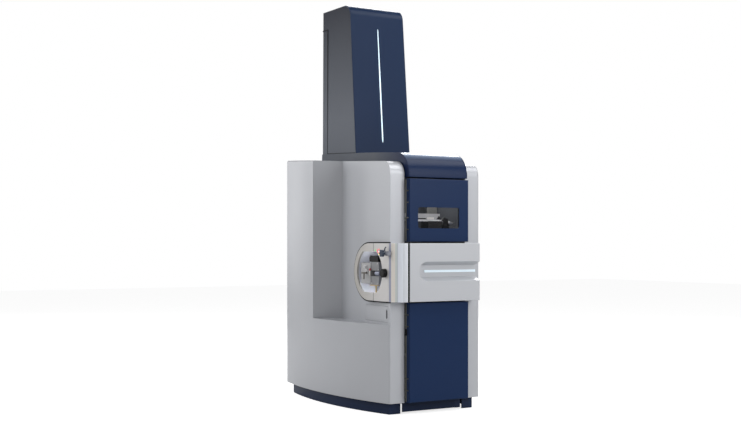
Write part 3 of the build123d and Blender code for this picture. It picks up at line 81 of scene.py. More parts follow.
class Finish:  # one material and its node tree
    def __init__(self, name):
        self.material = bpy.data.materials.new(name)
        self.material.use_nodes = True
        self.tree = self.material.node_tree
        self.tree.nodes.clear()
        self.output = self.tree.nodes.new("ShaderNodeOutputMaterial")

    def node(self, kind, settings=None, inputs=None):
        made = self.tree.nodes.new(kind)
        for key, setting in (settings or {}).items():
            if key == "stops":
                ramp = made.color_ramp
                for place, colour in setting:
                    stop = ramp.elements[0] if place == setting[0][0] else ramp.elements.new(place)
                    stop.position = place
                    stop.color = colour
                ramp.elements.remove(ramp.elements[-1])
            else:
                setattr(made, key, setting)
        for key, item in (inputs or {}).items():
            if isinstance(item, Value):
                self.tree.links.new(item.socket, made.inputs[key])
            else:
                made.inputs[key].default_value = item
        return made

    def out(self, made, key=0):
        return Value(self.tree, made.outputs[key])

    def point(self):
        return self.out(self.node("ShaderNodeTexCoord"), "Object")

    def noise(self, scale, detail=3.0, stretch=(1, 1, 1), roughness=0.5):
        place = self.out(self.node("ShaderNodeMapping", {}, {"Vector": self.point(), "Scale": stretch}))
        settings = {"Vector": place, "Scale": scale, "Detail": detail, "Roughness": roughness}
        return self.out(self.node("ShaderNodeTexNoise", {}, settings), "Fac")

    def along(self, axis):
        return self.out(self.node("ShaderNodeSeparateXYZ", {}, {"Vector": self.point()}), axis)

    def mix(self, amount, first, second, blend="MIX"):
        made = self.node("ShaderNodeMix", {"data_type": "RGBA", "blend_type": blend})
        for key, item in ((0, amount), (6, first), (7, second)):
            if isinstance(item, Value):
                self.tree.links.new(item.socket, made.inputs[key])
            else:
                made.inputs[key].default_value = item
        return Value(self.tree, made.outputs[2])

    def bump(self, heightField, strength, distance):
        settings = {"Height": heightField, "Strength": strength, "Distance": distance}
        return self.out(self.node("ShaderNodeBump", {}, settings), "Normal")

    def surface(self, **inputs):
        named = {key.replace("_", " "): item for key, item in inputs.items()}
        shader = self.node("ShaderNodeBsdfPrincipled", {}, named)
        self.tree.links.new(shader.outputs[0], self.output.inputs[0])
        return self.material


def colour(red, green, blue, level=1.0):
    def linear(value):
        value = value / 255 * level
        return value / 12.92 if value <= 0.04045 else ((value + 0.055) / 1.055) ** 2.4

    return (linear(red), linear(green), linear(blue), 1.0)


paints = {  # colours in sRGB, and the ramp turns to its own colour from high down to low, in metres
    "silverPaint": {"base": (181, 183, 188), "tint": (174, 176, 181), "rough": 0.36, "gloss": 0.35,
                    "metal": 0.2},
    "bandSilver": {"base": (186, 188, 192), "tint": (179, 181, 186), "rough": 0.36, "gloss": 0.35,
                   "metal": 0.2},
    "navyPaint": {"base": (24, 44, 79), "tint": (21, 40, 73), "rough": 0.34, "gloss": 0.12},
    "hoodNavy": {"base": (22, 39, 73), "tint": (19, 36, 67), "rough": 0.26, "gloss": 0.1},
    "towerNavy": {"base": (9, 36, 70), "tint": (7, 32, 63), "rough": 0.38, "gloss": 0.12},
    # painted light: the tower's side turns lighter towards the bottom
    "towerGrey": {"base": (30, 34, 47), "tint": (26, 30, 42), "rough": 0.4, "gloss": 0.06,
                  "lightAndToneRamp": {"axis": "Z", "colour": (96, 100, 108), "low": 1.35, "high": 1.92}},
    # the skirts turn darker and navy towards the front
    "skirtGrey": {"base": (88, 92, 100), "tint": (82, 86, 94), "rough": 0.4, "gloss": 0.1,
                  "lightAndToneRamp": {"axis": "Y", "colour": (24, 37, 70), "low": -0.47, "high": -0.2}},
    "plinthPaint": {"base": (30, 43, 70), "tint": (25, 37, 62), "rough": 0.42, "gloss": 0.15},
    "frameCoat": {"base": (52, 54, 58), "tint": (44, 46, 50), "rough": 0.6, "gloss": 0.2},
    "bayPaint": {"base": (92, 92, 90), "tint": (84, 84, 82), "rough": 0.55, "gloss": 0.2},
}
# a painted highlight: a lighter band along the top of the hood's front roll
paintedHighlight = {"tone": (110, 124, 148), "from": 1.128, "reach": 0.02, "front": -0.40}
paintCloud = {"scale": 3.0, "share": 0.7, "rough": 0.08}
paintFlake = {"scale": 2600.0, "share": 0.3, "rough": 0.05}
paintPeel = {"size": 0.0015, "strength": 0.10, "depth": 0.0002}


def paint(name):
    look = paints[name]
    finish = Finish(name)
    cloud = finish.noise(paintCloud["scale"], detail=2.0)
    flake = finish.noise(paintFlake["scale"], detail=1.0)
    amount = (cloud * paintCloud["share"] + flake * paintFlake["share"]).clamped()
    meanRough = (paintCloud["rough"] + paintFlake["rough"]) / 2
    variation = cloud * paintCloud["rough"] + flake * paintFlake["rough"]
    peel = finish.noise(1 / paintPeel["size"], detail=1.5)
    base = finish.mix(amount, colour(*look["base"]), colour(*look["tint"]))
    # the ramp paints light on the tower's side, lighter towards the bottom, and turns the skirts darker and
    # navy towards the front
    if "lightAndToneRamp" in look:
        lightAndToneRamp = look["lightAndToneRamp"]
        reach = lightAndToneRamp["high"] - lightAndToneRamp["low"]
        drop = ((lightAndToneRamp["high"] - finish.along(lightAndToneRamp["axis"])) / reach).clamped()
        base = finish.mix(drop, base, colour(*lightAndToneRamp["colour"]))
    if name == "hoodNavy":  # painted highlight along the roll's crest
        crest = ((finish.along("Z") - paintedHighlight["from"]) / paintedHighlight["reach"]).clamped()
        front = ((paintedHighlight["front"] - finish.along("Y")) / paintedHighlight["reach"]).clamped()
        base = finish.mix(crest * front, base, colour(*paintedHighlight["tone"]))
    return finish.surface(
        Base_Color=base,
        Metallic=look.get("metal", 0.0),
        Roughness=(variation + (look["rough"] - meanRough)).clamped(),
        Normal=finish.bump(peel, paintPeel["strength"], paintPeel["depth"]),
        Specular_IOR_Level=look["gloss"],
    )


metals = {  # grain is the stretch of the brushing along X, Y and Z
    "housingSteel": {"base": (214, 212, 211), "tint": (202, 200, 199), "rough": 0.38, "grain": (3, 3, 900),
                     "bump": 0.08, "metal": 0.4},
    "cornerSteel": {"base": (244, 245, 247), "tint": (234, 235, 238), "rough": 0.34, "grain": (3, 3, 900),
                    "bump": 0.06, "metal": 0.35},
    "machinedSteel": {"base": (158, 159, 162), "tint": (128, 129, 132), "rough": 0.36, "grain": (500, 40, 40),
                      "bump": 0.2, "metal": 0.6},
    "satinSteel": {"base": (188, 188, 189), "tint": (164, 164, 166), "rough": 0.34, "grain": (40, 500, 40),
                   "bump": 0.12, "metal": 0.4},
    "brightSteel": {"base": (238, 238, 240), "tint": (220, 220, 223), "rough": 0.26, "grain": (300, 300, 300),
                    "bump": 0.05, "metal": 0.45},
    "leverSteel": {"base": (112, 108, 102), "tint": (90, 86, 82), "rough": 0.4, "grain": (300, 60, 60),
                   "bump": 0.1, "metal": 0.5},
    "valveSteel": {"base": (128, 131, 140), "tint": (108, 111, 120), "rough": 0.42, "grain": (60, 300, 60),
                   "bump": 0.1, "metal": 0.4},
    "coneSteel": {"base": (150, 155, 172), "tint": (122, 127, 144), "rough": 0.3, "grain": (60, 300, 60),
                  "bump": 0.1, "metal": 0.5},
    "hingeSteel": {"base": (98, 96, 86), "tint": (78, 76, 68), "rough": 0.5, "grain": (60, 60, 400),
                   "bump": 0.1, "metal": 0.4},
    "bowlSteel": {"base": (232, 235, 244), "tint": (216, 219, 230), "rough": 0.4, "grain": (20, 20, 20),
                  "bump": 0.03, "metal": 0.2},
    "brassYellow": {"base": (226, 204, 156), "tint": (206, 180, 128), "rough": 0.34, "grain": (300, 300, 40),
                    "bump": 0.1, "metal": 0.4},
}
paintedReflectionBands = (  # painted reflections of the studio across the corner's bend: share of the bend from the side to the front, and the tone there
    (0.0, (168, 170, 190)), (0.024, (168, 170, 190)), (0.034, (248, 241, 230)), (0.165, (248, 241, 230)),
    (0.2, (222, 228, 224)), (0.27, (220, 226, 222)), (0.3, (204, 208, 216)), (0.34, (244, 248, 255)),
    (0.62, (240, 244, 251)), (0.7, (214, 217, 222)), (0.97, (208, 211, 216)), (0.995, (240, 242, 246)),
)
bend = {"start": -0.244, "reach": 0.058}
# painted shade: the housing's steel turns darker towards the rear, where less light falls
housingRearShade = {"base": (186, 183, 178), "tint": (176, 173, 168), "start": -0.40, "reach": 0.2}
metalGrain = {"share": 0.8, "rough": 0.16, "depth": 0.0001}
metalWear = {"scale": 18.0, "share": 0.4, "rough": 0.1}
metalMean = {"share": 0.1, "rough": 0.12}


def brushed(name):
    look = metals[name]
    finish = Finish(name)
    grain = finish.noise(1.0, detail=4.0, stretch=look["grain"], roughness=0.7)
    wear = finish.noise(metalWear["scale"], detail=3.0)
    amount = (grain * metalGrain["share"] + wear * metalWear["share"] - metalMean["share"]).clamped()
    variation = grain * metalGrain["rough"] + wear * metalWear["rough"]
    base = finish.mix(amount, colour(*look["base"]), colour(*look["tint"]))
    # painted reflections in bands across the bend of the corner
    if name == "cornerSteel":
        turn = (finish.along("X") - bend["start"]) / bend["reach"]
        stops = [(place, colour(*tone)) for place, tone in paintedReflectionBands]
        reflectionRamp = finish.node("ShaderNodeValToRGB", {"stops": stops}, {"Fac": turn.clamped()})
        base = finish.mix(1.0, base, finish.out(reflectionRamp), blend="MULTIPLY")
    # painted shade towards the rear of the housing
    if name == "housingSteel":
        back = ((finish.along("Y") - housingRearShade["start"]) / housingRearShade["reach"]).clamped()
        rearShadeTone = finish.mix(amount, colour(*housingRearShade["base"]), colour(*housingRearShade["tint"]))
        base = finish.mix(back, base, rearShadeTone)
    return finish.surface(
        Base_Color=base,
        Metallic=look["metal"],
        Roughness=(variation + (look["rough"] - metalMean["rough"])).clamped(),
        Normal=finish.bump(grain, look["bump"], metalGrain["depth"]),
    )


plastics = {
    "blackPlastic": {"base": (13, 13, 15), "tint": (8, 8, 9), "rough": 0.42, "texture": 1800.0},
    "slateKnob": {"base": (62, 74, 92), "tint": (46, 56, 72), "rough": 0.35, "texture": 1400.0},
    "blackRubber": {"base": (22, 22, 24), "tint": (14, 14, 15), "rough": 0.75, "texture": 1200.0},
    "whitePlug": {"base": (226, 224, 218), "tint": (206, 204, 198), "rough": 0.4, "texture": 1400.0},
    "redPlug": {"base": (200, 44, 52), "tint": (170, 34, 42), "rough": 0.35, "texture": 1400.0},
    "sealGrey": {"base": (104, 104, 98), "tint": (94, 94, 89), "rough": 0.7, "texture": 900.0},
    # a pale plate that paints a highlight on the transfer line
    "highlightPlate": {"base": (232, 228, 224), "tint": (214, 210, 206), "rough": 0.4, "texture": 1400.0},
}
moulding = {"cloud": 30.0, "rough": 0.2, "strength": 0.2, "depth": 0.0001, "gloss": 0.25}


def moulded(name):
    look = plastics[name]
    finish = Finish(name)
    cloud = finish.noise(moulding["cloud"], detail=2.0)
    texture = finish.noise(look["texture"], detail=2.0)
    meanRough = moulding["rough"] / 2
    return finish.surface(
        Base_Color=finish.mix(cloud, colour(*look["base"]), colour(*look["tint"])),
        Roughness=(texture * moulding["rough"] + (look["rough"] - meanRough)).clamped(),
        Normal=finish.bump(texture, moulding["strength"], moulding["depth"]),
        Specular_IOR_Level=moulding["gloss"],
    )


glows = {
    "lightBar": {"base": (206, 228, 240), "strength": 0.8},
    "pocketLight": {"base": (200, 213, 222), "strength": 0.38},
    "greenLens": {"base": (64, 196, 96), "strength": 0.8},
    "redLens": {"base": (232, 84, 88), "strength": 0.8},
    "yellowLens": {"base": (226, 206, 70), "strength": 0.8},
    "whiteLens": {"base": (244, 214, 212), "strength": 0.6},
}
lensRipple = {"scale": 60.0, "share": 0.3, "level": 0.92, "rough": 0.1, "smooth": 0.3}


def lit(name):
    look = glows[name]
    finish = Finish(name)
    ripple = finish.noise(lensRipple["scale"], detail=1.0)
    dimmer = colour(*look["base"], level=lensRipple["level"])
    glow = finish.mix(ripple * lensRipple["share"], colour(*look["base"]), dimmer)
    return finish.surface(
        Base_Color=glow,
        Roughness=(ripple * lensRipple["rough"] + lensRipple["smooth"]).clamped(),
        Emission_Color=glow,
        Emission_Strength=look["strength"],
    )


pane = {"tone": (30, 31, 33), "smear": 14.0, "rough": (0.03, 0.05), "alpha": (0.16, 0.06), "bending": 1.5}


def smokedGlass():  # rough and alpha are the least value and what the smear adds
    finish = Finish("smokedGlass")
    smear = finish.noise(pane["smear"], detail=3.0)
    return finish.surface(
        Base_Color=colour(*pane["tone"]),
        Roughness=(smear * pane["rough"][1] + pane["rough"][0]).clamped(),
        Alpha=(smear * pane["alpha"][1] + pane["alpha"][0]).clamped(),
        IOR=pane["bending"],
    )


looks = {name: paint(name) for name in paints}
looks.update({name: brushed(name) for name in metals})
looks.update({name: moulded(name) for name in plastics})
looks.update({name: lit(name) for name in glows})
looks["glass"] = smokedGlass()
print("finishes made:", len(looks))

nodeLooks = {
    "base_plinth": "plinthPaint",
    "kick_panel": "plinthPaint",
    "levelling_feet": "blackRubber",
    "cabinet_frame": "frameCoat",
    "right_shell": "silverPaint",
    "left_shell": "silverPaint",
    "source_housing_rear": "housingSteel",
    "source_housing_front": "housingSteel",
    "source_corner": "cornerSteel",
    "source_chamber": "bowlSteel",
    "source_block": "machinedSteel",
    "sampling_cone": "coneSteel",
    "source_cover": "blackPlastic",
    "source_carrier": "satinSteel",
    "thumb_screw_upper": "brightSteel",
    "thumb_screw_lower": "brightSteel",
    "lock_lever": "leverSteel",
    "black_knob": "blackPlastic",
    "gas_valve_body": "valveSteel",
    "star_knob": "slateKnob",
    "indicator_lights": "greenLens",
    "block_post": "brassYellow",
    "band_cover": "bandSilver",
    "band_light_bar": "pocketLight",
    "lower_door": "navyPaint",
    "upper_door": "navyPaint",
    "window_glass": "glass",
    "window_bezel": "blackRubber",
    "upper_hinge": "hingeSteel",
    "lower_hinge": "hingeSteel",
    "lower_door_buffer": "blackRubber",
    "hatch": "silverPaint",
    "hatch_pins": "hingeSteel",
    "roof_hood": "hoodNavy",
    "roof_skirt_left": "skirtGrey",
    "roof_skirt_right": "skirtGrey",
    "tower_front_cover": "towerNavy",
    "tower_light_bar": "lightBar",
    "tower_side_cover": "towerGrey",
    "tower_rear_panel": "towerGrey",
    "flight_tube": "machinedSteel",
    "mirror_stack": "machinedSteel",
    "transfer_line": "satinSteel",
    "line_stand": "blackPlastic",
    "line_wedge": "blackPlastic",
    "inlet_nozzle": "brightSteel",
    "detector_module": "blackPlastic",
    "compartment_panel": "bayPaint",
    "turbo_pump": "machinedSteel",
    "power_supply": "frameCoat",
    "rear_panel": "towerGrey",
    "exhaust_port": "hingeSteel",
    "gas_ports": "brassYellow",
    "mains_inlet": "blackPlastic",
    "switch_housing": "blackPlastic",
    "main_switch": "blackPlastic",
    "fan_housing": "blackPlastic",
    "fan_rotor": "blackPlastic",
}
for nodeName, node in frame["nodes"].items():
    node.data.materials.clear()
    node.data.materials.append(looks[nodeLooks[nodeName]])

bodies = frame["record"]["behaviour"]["bodies"]
bodyOf = {member: body for body, members in bodies.items() for member in members}


# the fitted forms of a few nodes, in metres
roofStep = {"hood": 0.3015, "skirt": 0.2905, "wall": 0.002, "from": 1.1, "drop": 0.045}
roofCrest = {"lift": 0.009, "foot": 1.06, "rise": 0.08, "reach": 0.4}
plinthSpread = {"foot": 0.02, "down": 0.0065, "out": 1.016, "back": 1.035}
bandTrim = {"edge": -0.1775, "by": 0.0066}


def everything(work):
    return work.verts[:] + work.edges[:] + work.faces[:]


def shareOf(value):
    return min(max(value, 0.0), 1.0)


def lowerRoofBehindTower(work):  # the roof ends at the tower, and its rest lies below the shells' top
    sides = [vert.co.x for vert in work.verts]
    rear = roofStep["hood"] if max(sides) > 0 > min(sides) else roofStep["skirt"]
    for cut in (rear, rear + roofStep["wall"]):
        bmesh.ops.bisect_plane(work, geom=everything(work), plane_co=(0, cut, 0), plane_no=(0, 1, 0))
    for vert in work.verts:
        if vert.co.y > rear + roofStep["wall"] / 2 and vert.co.z > roofStep["from"]:
            vert.co.z -= roofStep["drop"]
        crest = shareOf((vert.co.z - roofCrest["foot"]) / roofCrest["rise"])
        front = shareOf(-vert.co.y / roofCrest["reach"])
        vert.co.z += roofCrest["lift"] * crest * front


def spreadPlinth(work):  # skirt nearly down to the floor
    for vert in work.verts:
        if vert.co.z < plinthSpread["foot"]:
            vert.co.z -= plinthSpread["down"]
        vert.co.x *= plinthSpread["out"]
        if vert.co.y > 0:
            vert.co.y *= plinthSpread["back"]


def trimBandEdge(work):  # makes room for the black seal beside the corner
    for vert in work.verts:
        if vert.co.x < bandTrim["edge"]:
            vert.co.x += bandTrim["by"]


reshaped = {
    "roof_hood": lowerRoofBehindTower,
    "roof_skirt_left": lowerRoofBehindTower,
    "roof_skirt_right": lowerRoofBehindTower,
    "base_plinth": spreadPlinth,
    "band_cover": trimBandEdge,
}


skinEdge = {"weld": 1e-6, "flat": 0.4, "segments": 3, "angle": 28}


def dressed(nodeName, edge):  # the node's own form with softened edges
    source = frame["nodes"][nodeName]
    work = bmesh.new()
    work.from_mesh(source.data)
    flat = math.radians(skinEdge["flat"])
    bmesh.ops.remove_doubles(work, verts=work.verts, dist=skinEdge["weld"])
    bmesh.ops.dissolve_limit(work, angle_limit=flat, verts=work.verts, edges=work.edges)
    if nodeName in reshaped:
        reshaped[nodeName](work)
    mesh = bpy.data.meshes.new(nodeName + "_skin")
    work.to_mesh(mesh)
    work.free()
    skin = bpy.data.objects.new(nodeName + "_skin", mesh)
    bpy.context.scene.collection.objects.link(skin)
    mesh.materials.append(source.data.materials[0])
    for polygon in mesh.polygons:
        polygon.use_smooth = True
    bevel = skin.modifiers.new("edge", "BEVEL")
    bevel.width = edge
    bevel.segments = skinEdge["segments"]
    bevel.limit_method = "ANGLE"
    bevel.angle_limit = math.radians(skinEdge["angle"])
    bevel.harden_normals = True
    bevel.miter_outer = "MITER_ARC"
    weighted = skin.modifiers.new("normals", "WEIGHTED_NORMAL")
    weighted.keep_sharp = False
    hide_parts(nodeName)
    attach(skin, bodyOf[nodeName])


softEdges = {  # edge radius in metres
    "base_plinth": 0.0012,
    "kick_panel": 0.0010,
    "right_shell": 0.0022,
    "left_shell": 0.0022,
    "source_corner": 0.0010,
    "band_cover": 0.0010,
    "upper_door": 0.0008,
    "lower_door": 0.0008,
    "roof_hood": 0.0012,
    "roof_skirt_left": 0.0008,
    "roof_skirt_right": 0.0008,
    "tower_front_cover": 0.0014,
    "tower_side_cover": 0.0012,
    "tower_rear_panel": 0.0012,
    "hatch": 0.0006,
    "source_housing_rear": 0.0008,
    "source_housing_front": 0.0008,
    "rear_panel": 0.0006,
}
for nodeName, edge in softEdges.items():
    dressed(nodeName, edge)
print("skins made:", len(softEdges))


pieceEdge = {"segments": 2, "sharp": 34}
pipeSegments = 4


def piece(name, mesh, look, body="cabinet", replaced=None, edge=0.0):  # edge in millimetres
    made = bpy.data.objects.new(name, mesh)
    bpy.context.scene.collection.objects.link(made)
    mesh.materials.append(looks[look])
    for polygon in mesh.polygons:
        polygon.use_smooth = True
    mesh.set_sharp_from_angle(angle=math.radians(pieceEdge["sharp"]))
    if edge:
        bevel = made.modifiers.new("edge", "BEVEL")
        bevel.width = edge * mm
        bevel.segments = pieceEdge["segments"]
        bevel.limit_method = "ANGLE"
        bevel.harden_normals = True
    if replaced:
        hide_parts(replaced)
    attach(made, body)


def meshOf(name, work):
    bmesh.ops.recalc_face_normals(work, faces=work.faces)
    mesh = bpy.data.meshes.new(name)
    work.to_mesh(mesh)
    work.free()
    return mesh


def rectangle(first, second):
    return [(first[0], second[0]), (first[1], second[0]), (first[1], second[1]), (first[0], second[1])]


def prism(name, outline, low, high, axis):  # outline in the two other axes, millimetres
    order = {"x": (2, 0, 1), "y": (0, 2, 1), "z": (0, 1, 2)}[axis]
    work = bmesh.new()
    ends = []
    for level in (low, high):
        corners = [(first * mm, second * mm, level * mm) for first, second in outline]
        ends.append([work.verts.new([corner[index] for index in order]) for corner in corners])
    work.faces.new(ends[0])
    work.faces.new(ends[1])
    count = len(outline)
    for index in range(count):
        after = (index + 1) % count
        work.faces.new((ends[0][index], ends[0][after], ends[1][after], ends[1][index]))
    return meshOf(name, work)


def turned(name, profile, centre, axis, steps):  # profile is radius and distance along the axis
    turn = Vector(axis).to_track_quat("Z", "Y").to_matrix()
    work = bmesh.new()
    rings = []
    for radius, reach in profile:
        ring = []
        for step in range(steps if radius else 1):
            angle = 2 * math.pi * step / steps
            local = Vector((radius * math.cos(angle), radius * math.sin(angle), reach))
            ring.append(work.verts.new((turn @ local + Vector(centre)) * mm))
        rings.append(ring)
    for lower, upper in zip(rings, rings[1:]):
        for step in range(steps):
            after = (step + 1) % steps
            corners = [lower[step % len(lower)], lower[after % len(lower)]]
            corners += [upper[after % len(upper)], upper[step % len(upper)]]
            work.faces.new(list(dict.fromkeys(corners)))
    return meshOf(name, work)


def pipe(name, points, radius):
    curve = bpy.data.curves.new(name, "CURVE")
    curve.dimensions = "3D"
    curve.bevel_depth = radius * mm
    curve.bevel_resolution = pipeSegments
    curve.use_fill_caps = True
    spline = curve.splines.new("BEZIER")
    spline.bezier_points.add(len(points) - 1)
    for knot, point in zip(spline.bezier_points, points):
        knot.co = Vector(point) * mm
        knot.handle_left_type = "AUTO"
        knot.handle_right_type = "AUTO"
    holder = bpy.data.objects.new(name, curve)
    mesh = bpy.data.meshes.new_from_object(holder)
    bpy.data.objects.remove(holder)
    return mesh


def ringed(name, inner, outer, low, high):  # open band between two (y, z) lines, along X
    work = bmesh.new()
    loops = []
    for line, level in ((inner, low), (outer, low), (outer, high), (inner, high)):
        loops.append([work.verts.new((level * mm, first * mm, second * mm)) for first, second in line])
    for index in range(len(inner) - 1):
        for side in range(4):
            one, two = loops[side], loops[(side + 1) % 4]
            work.faces.new((one[index], one[index + 1], two[index + 1], two[index]))
    for end in (0, -1):
        work.faces.new([loop[end] for loop in loops])
    return meshOf(name, work)


# a black ring round the source housing, painted shade for the shadow in the gap there, a black seal beside
# its corner, and the seam between the housing's halves
shadowRing = {"front": -469.0, "roundY": -294.0, "z": 627.25, "half": 128.75, "gap": 0.2, "width": 5.4,
        "steps": 40, "x": (-240.5, -234.0), "edge": 0.5}
cornerSeal = {"x": (-182.6, -174.2), "y": (-527.0, -520.0), "z": (499.5, 755.5)}
seam = {"x": (-244.15, -243.5), "y": (-339.4, -336.6), "spans": ((499.5, 536.0), (718.6, 755.5))}


def shadowRingLine(outset):
    radius = shadowRing["half"] + outset
    line = [(shadowRing["front"], shadowRing["z"] + radius)]
    for step in range(shadowRing["steps"] + 1):
        angle = math.pi * step / shadowRing["steps"]
        line.append((shadowRing["roundY"] + radius * math.sin(angle), shadowRing["z"] + radius * math.cos(angle)))
    return line + [(shadowRing["front"], shadowRing["z"] - radius)]


# the black ring is painted shade, for the shadow in the gap round the housing
mesh = ringed("housing_shadow_ring", shadowRingLine(shadowRing["gap"]), shadowRingLine(shadowRing["width"]), *shadowRing["x"])
piece("housing_shadow_ring", mesh, "blackRubber", edge=shadowRing["edge"])
mesh = prism("corner_seal", rectangle(cornerSeal["x"], cornerSeal["y"]), *cornerSeal["z"], "z")
piece("corner_seal", mesh, "blackRubber")
for index, span in enumerate(seam["spans"]):
    mesh = prism(f"housing_seam_{index}", rectangle(seam["y"], span), *seam["x"], "x")
    piece(f"housing_seam_{index}", mesh, "sealGrey")
print("seals made")

# coloured lamps beside the opening
smallSteps = 24
lampLens = {"radius": 3.6, "crown": 1.6, "base": -244.3}
lensDome = ((1.0, 0.0), (1.0, 0.4), (0.8, 0.8), (0.4, 1.0), (0.0, 1.05))  # shares of radius and crown
lenses = {
    "green": {"look": "greenLens", "at": (-356.0, 724.5)},
    "red_front": {"look": "redLens", "at": (-371.0, 724.5)},
    "red_top": {"look": "redLens", "at": (-386.0, 729.0), "replaces": "indicator_lights"},
    "white": {"look": "whiteLens", "at": (-386.0, 718.0)},
    "red_low": {"look": "redLens", "at": (-377.5, 716.0)},
    "yellow": {"look": "yellowLens", "at": (-386.0, 707.0)},
}
for name, lens in lenses.items():
    profile = [(lampLens["radius"] * share, lampLens["crown"] * rise) for share, rise in lensDome]
    centre = (lampLens["base"], *lens["at"])
    mesh = turned(f"lamp_{name}", profile, centre, (-1, 0, 0), smallSteps)
    piece(f"lamp_{name}", mesh, lens["look"], replaced=lens.get("replaces"))

# gas sleeve and its short hose over the star knob
sleeve = {
    "centre": (-255.4, -467.0, 711.0),
    "steps": 32,
    "profile": [(0, 0), (9.2, 0), (10.2, 1.0), (10.2, 9.0), (8.8, 10.0), (8.8, 13.0), (10.2, 14.0),
                (10.2, 21.0), (9.2, 22.0), (0, 22)],
}
hose = {
    "radius": 2.6,
    "path": [(-256.0, -455.0, 719.0), (-257.0, -455.0, 728.0), (-257.5, -458.0, 735.0),
             (-257.5, -465.0, 738.5)],
}
mesh = turned("gas_sleeve", sleeve["profile"], sleeve["centre"], (0, -1, 0), sleeve["steps"])
piece("gas_sleeve", mesh, "valveSteel")
piece("gas_hose", pipe("gas_hose", hose["path"], hose["radius"]), "slateKnob")

# plug between the block and the carrier, and the block's four screws
plugShape = {"x": -241.2, "y": -303.7, "radius": 3.1, "tip": 2.7, "chamfer": 0.6}
plugs = {
    "plug_white": {"look": "whitePlug", "from": 612.0, "to": 633.0},
    "plug_red": {"look": "redPlug", "from": 633.2, "to": 643.5},
}
for name, plug in plugs.items():
    length = plug["to"] - plug["from"]
    radius, tip, chamfer = plugShape["radius"], plugShape["tip"], plugShape["chamfer"]
    profile = [(0, 0), (tip, 0), (radius, chamfer), (radius, length - chamfer), (tip, length), (0, length)]
    centre = (plugShape["x"], plugShape["y"], plug["from"])
    piece(name, turned(name, profile, centre, (0, 0, 1), smallSteps), plug["look"])
blockScrew = {
    "x": -236.1,
    "places": ((-360.0, 665.0), (-367.0, 638.0), (-360.0, 577.0), (-311.0, 577.0)),
    "profile": [(3.2, 0.0), (3.2, 1.2), (2.8, 1.7), (1.5, 1.7), (1.5, 0.6), (0, 0.6)],
}
for index, place in enumerate(blockScrew["places"]):
    centre = (blockScrew["x"], *place)
    mesh = turned(f"block_screw_{index}", blockScrew["profile"], centre, (-1, 0, 0), smallSteps)
    piece(f"block_screw_{index}", mesh, "brightSteel")
print("source details made")

# tower: seams and a slim light
towerSeam = {"x": (-151.35, -150.6), "half": 2.4, "y": 252.0, "rear": 300.5, "top": 1808.5, "back": 230.0}
footSeam = {"y": -20.0, "below": 1.0, "above": 3.6}
side = [vert.co / mm for vert in frame["nodes"]["tower_side_cover"].data.vertices]
frontFoot = min(point.z for point in side)
rearFoot = min(point.z for point in side if point.y > towerSeam["back"])
high, across, seamAt = towerSeam["top"], towerSeam["half"], towerSeam["y"]
below, above = footSeam["below"], footSeam["above"]
towerLines = {
    "tower_seam_side": rectangle((seamAt - across, seamAt + across), (rearFoot, high)),
    "tower_seam_top": rectangle((seamAt, towerSeam["rear"]), (high - across, high + across)),
    "tower_seam_foot": [(footSeam["y"], frontFoot - below), (seamAt, rearFoot - below),
                        (seamAt, rearFoot + above), (footSeam["y"], frontFoot + above)],
}
for name, outline in towerLines.items():
    piece(name, prism(name, outline, *towerSeam["x"], "x"), "blackRubber")
slimLight = {  # rows are the share of the half length and the half width
    "end": 5.0, "top": 25.0, "proud": 1.5, "thick": 1.2,
    "rows": ((-1.0, 0.9), (-0.96, 1.9), (-0.5, 2.5), (0.0, 3.5), (0.5, 3.0), (0.92, 3.2), (0.98, 2.2),
             (1.0, 1.2)),
}
lightSurround = {"half": 5.2, "proud": 0.6, "thick": 2.0}
bar = [vert.co / mm for vert in frame["nodes"]["tower_light_bar"].data.vertices]
barLow, barHigh = min(point.z for point in bar), max(point.z for point in bar)
faceLow = min(point.y for point in bar if point.z < barLow + slimLight["end"])
faceHigh = min(point.y for point in bar if point.z > barHigh - slimLight["end"])
lean = (faceHigh - faceLow) / (barHigh - barLow)


def leaning(name, rows, proud, thick):  # a slab on the leaning front, rows are height and half width
    work = bmesh.new()
    faces = []
    for depth in (proud, proud - thick):
        sideOf = []
        for z, half in rows:
            y = faceLow + (z - barLow) * lean - depth
            sideOf.append([work.verts.new((x * mm, y * mm, z * mm)) for x in (-half, half)])
        faces.append(sideOf)
    front, back = faces
    for index in range(len(rows) - 1):
        for layer in (front, back):
            work.faces.new((layer[index][0], layer[index][1], layer[index + 1][1], layer[index + 1][0]))
        for x in (0, 1):
            work.faces.new((front[index][x], front[index + 1][x], back[index + 1][x], back[index][x]))
    for index in (0, -1):
        work.faces.new((front[index][0], front[index][1], back[index][1], back[index][0]))
    return meshOf(name, work)


middle = (barLow + barHigh + slimLight["top"]) / 2
halfReach = (barHigh + slimLight["top"] - barLow) / 2
rows = [(middle - share * halfReach, half) for share, half in reversed(slimLight["rows"])]
mesh = leaning("tower_light", rows, slimLight["proud"], slimLight["thick"])
piece("tower_light", mesh, "lightBar", replaced="tower_light_bar")
rows = [(barLow, lightSurround["half"]), (barHigh, lightSurround["half"])]
mesh = leaning("tower_light_surround", rows, lightSurround["proud"], lightSurround["thick"])
piece("tower_light_surround", mesh, "towerNavy")
print("tower details made")

# seals on the doors' hinged edges
doorSeal = {
    "x": (-160.3, -159.05),
    "y": (-480.0, -471.2),
    "spans": {"upper_door": ((766.0, 1038.0),), "lower_door": ((58.0, 349.0), (379.0, 491.0))},
}
for door, spans in doorSeal["spans"].items():
    for index, span in enumerate(spans):
        mesh = prism(f"{door}_seal_{index}", rectangle(doorSeal["y"], span), *doorSeal["x"], "x")
        piece(f"{door}_seal_{index}", mesh, "sealGrey", body=door)

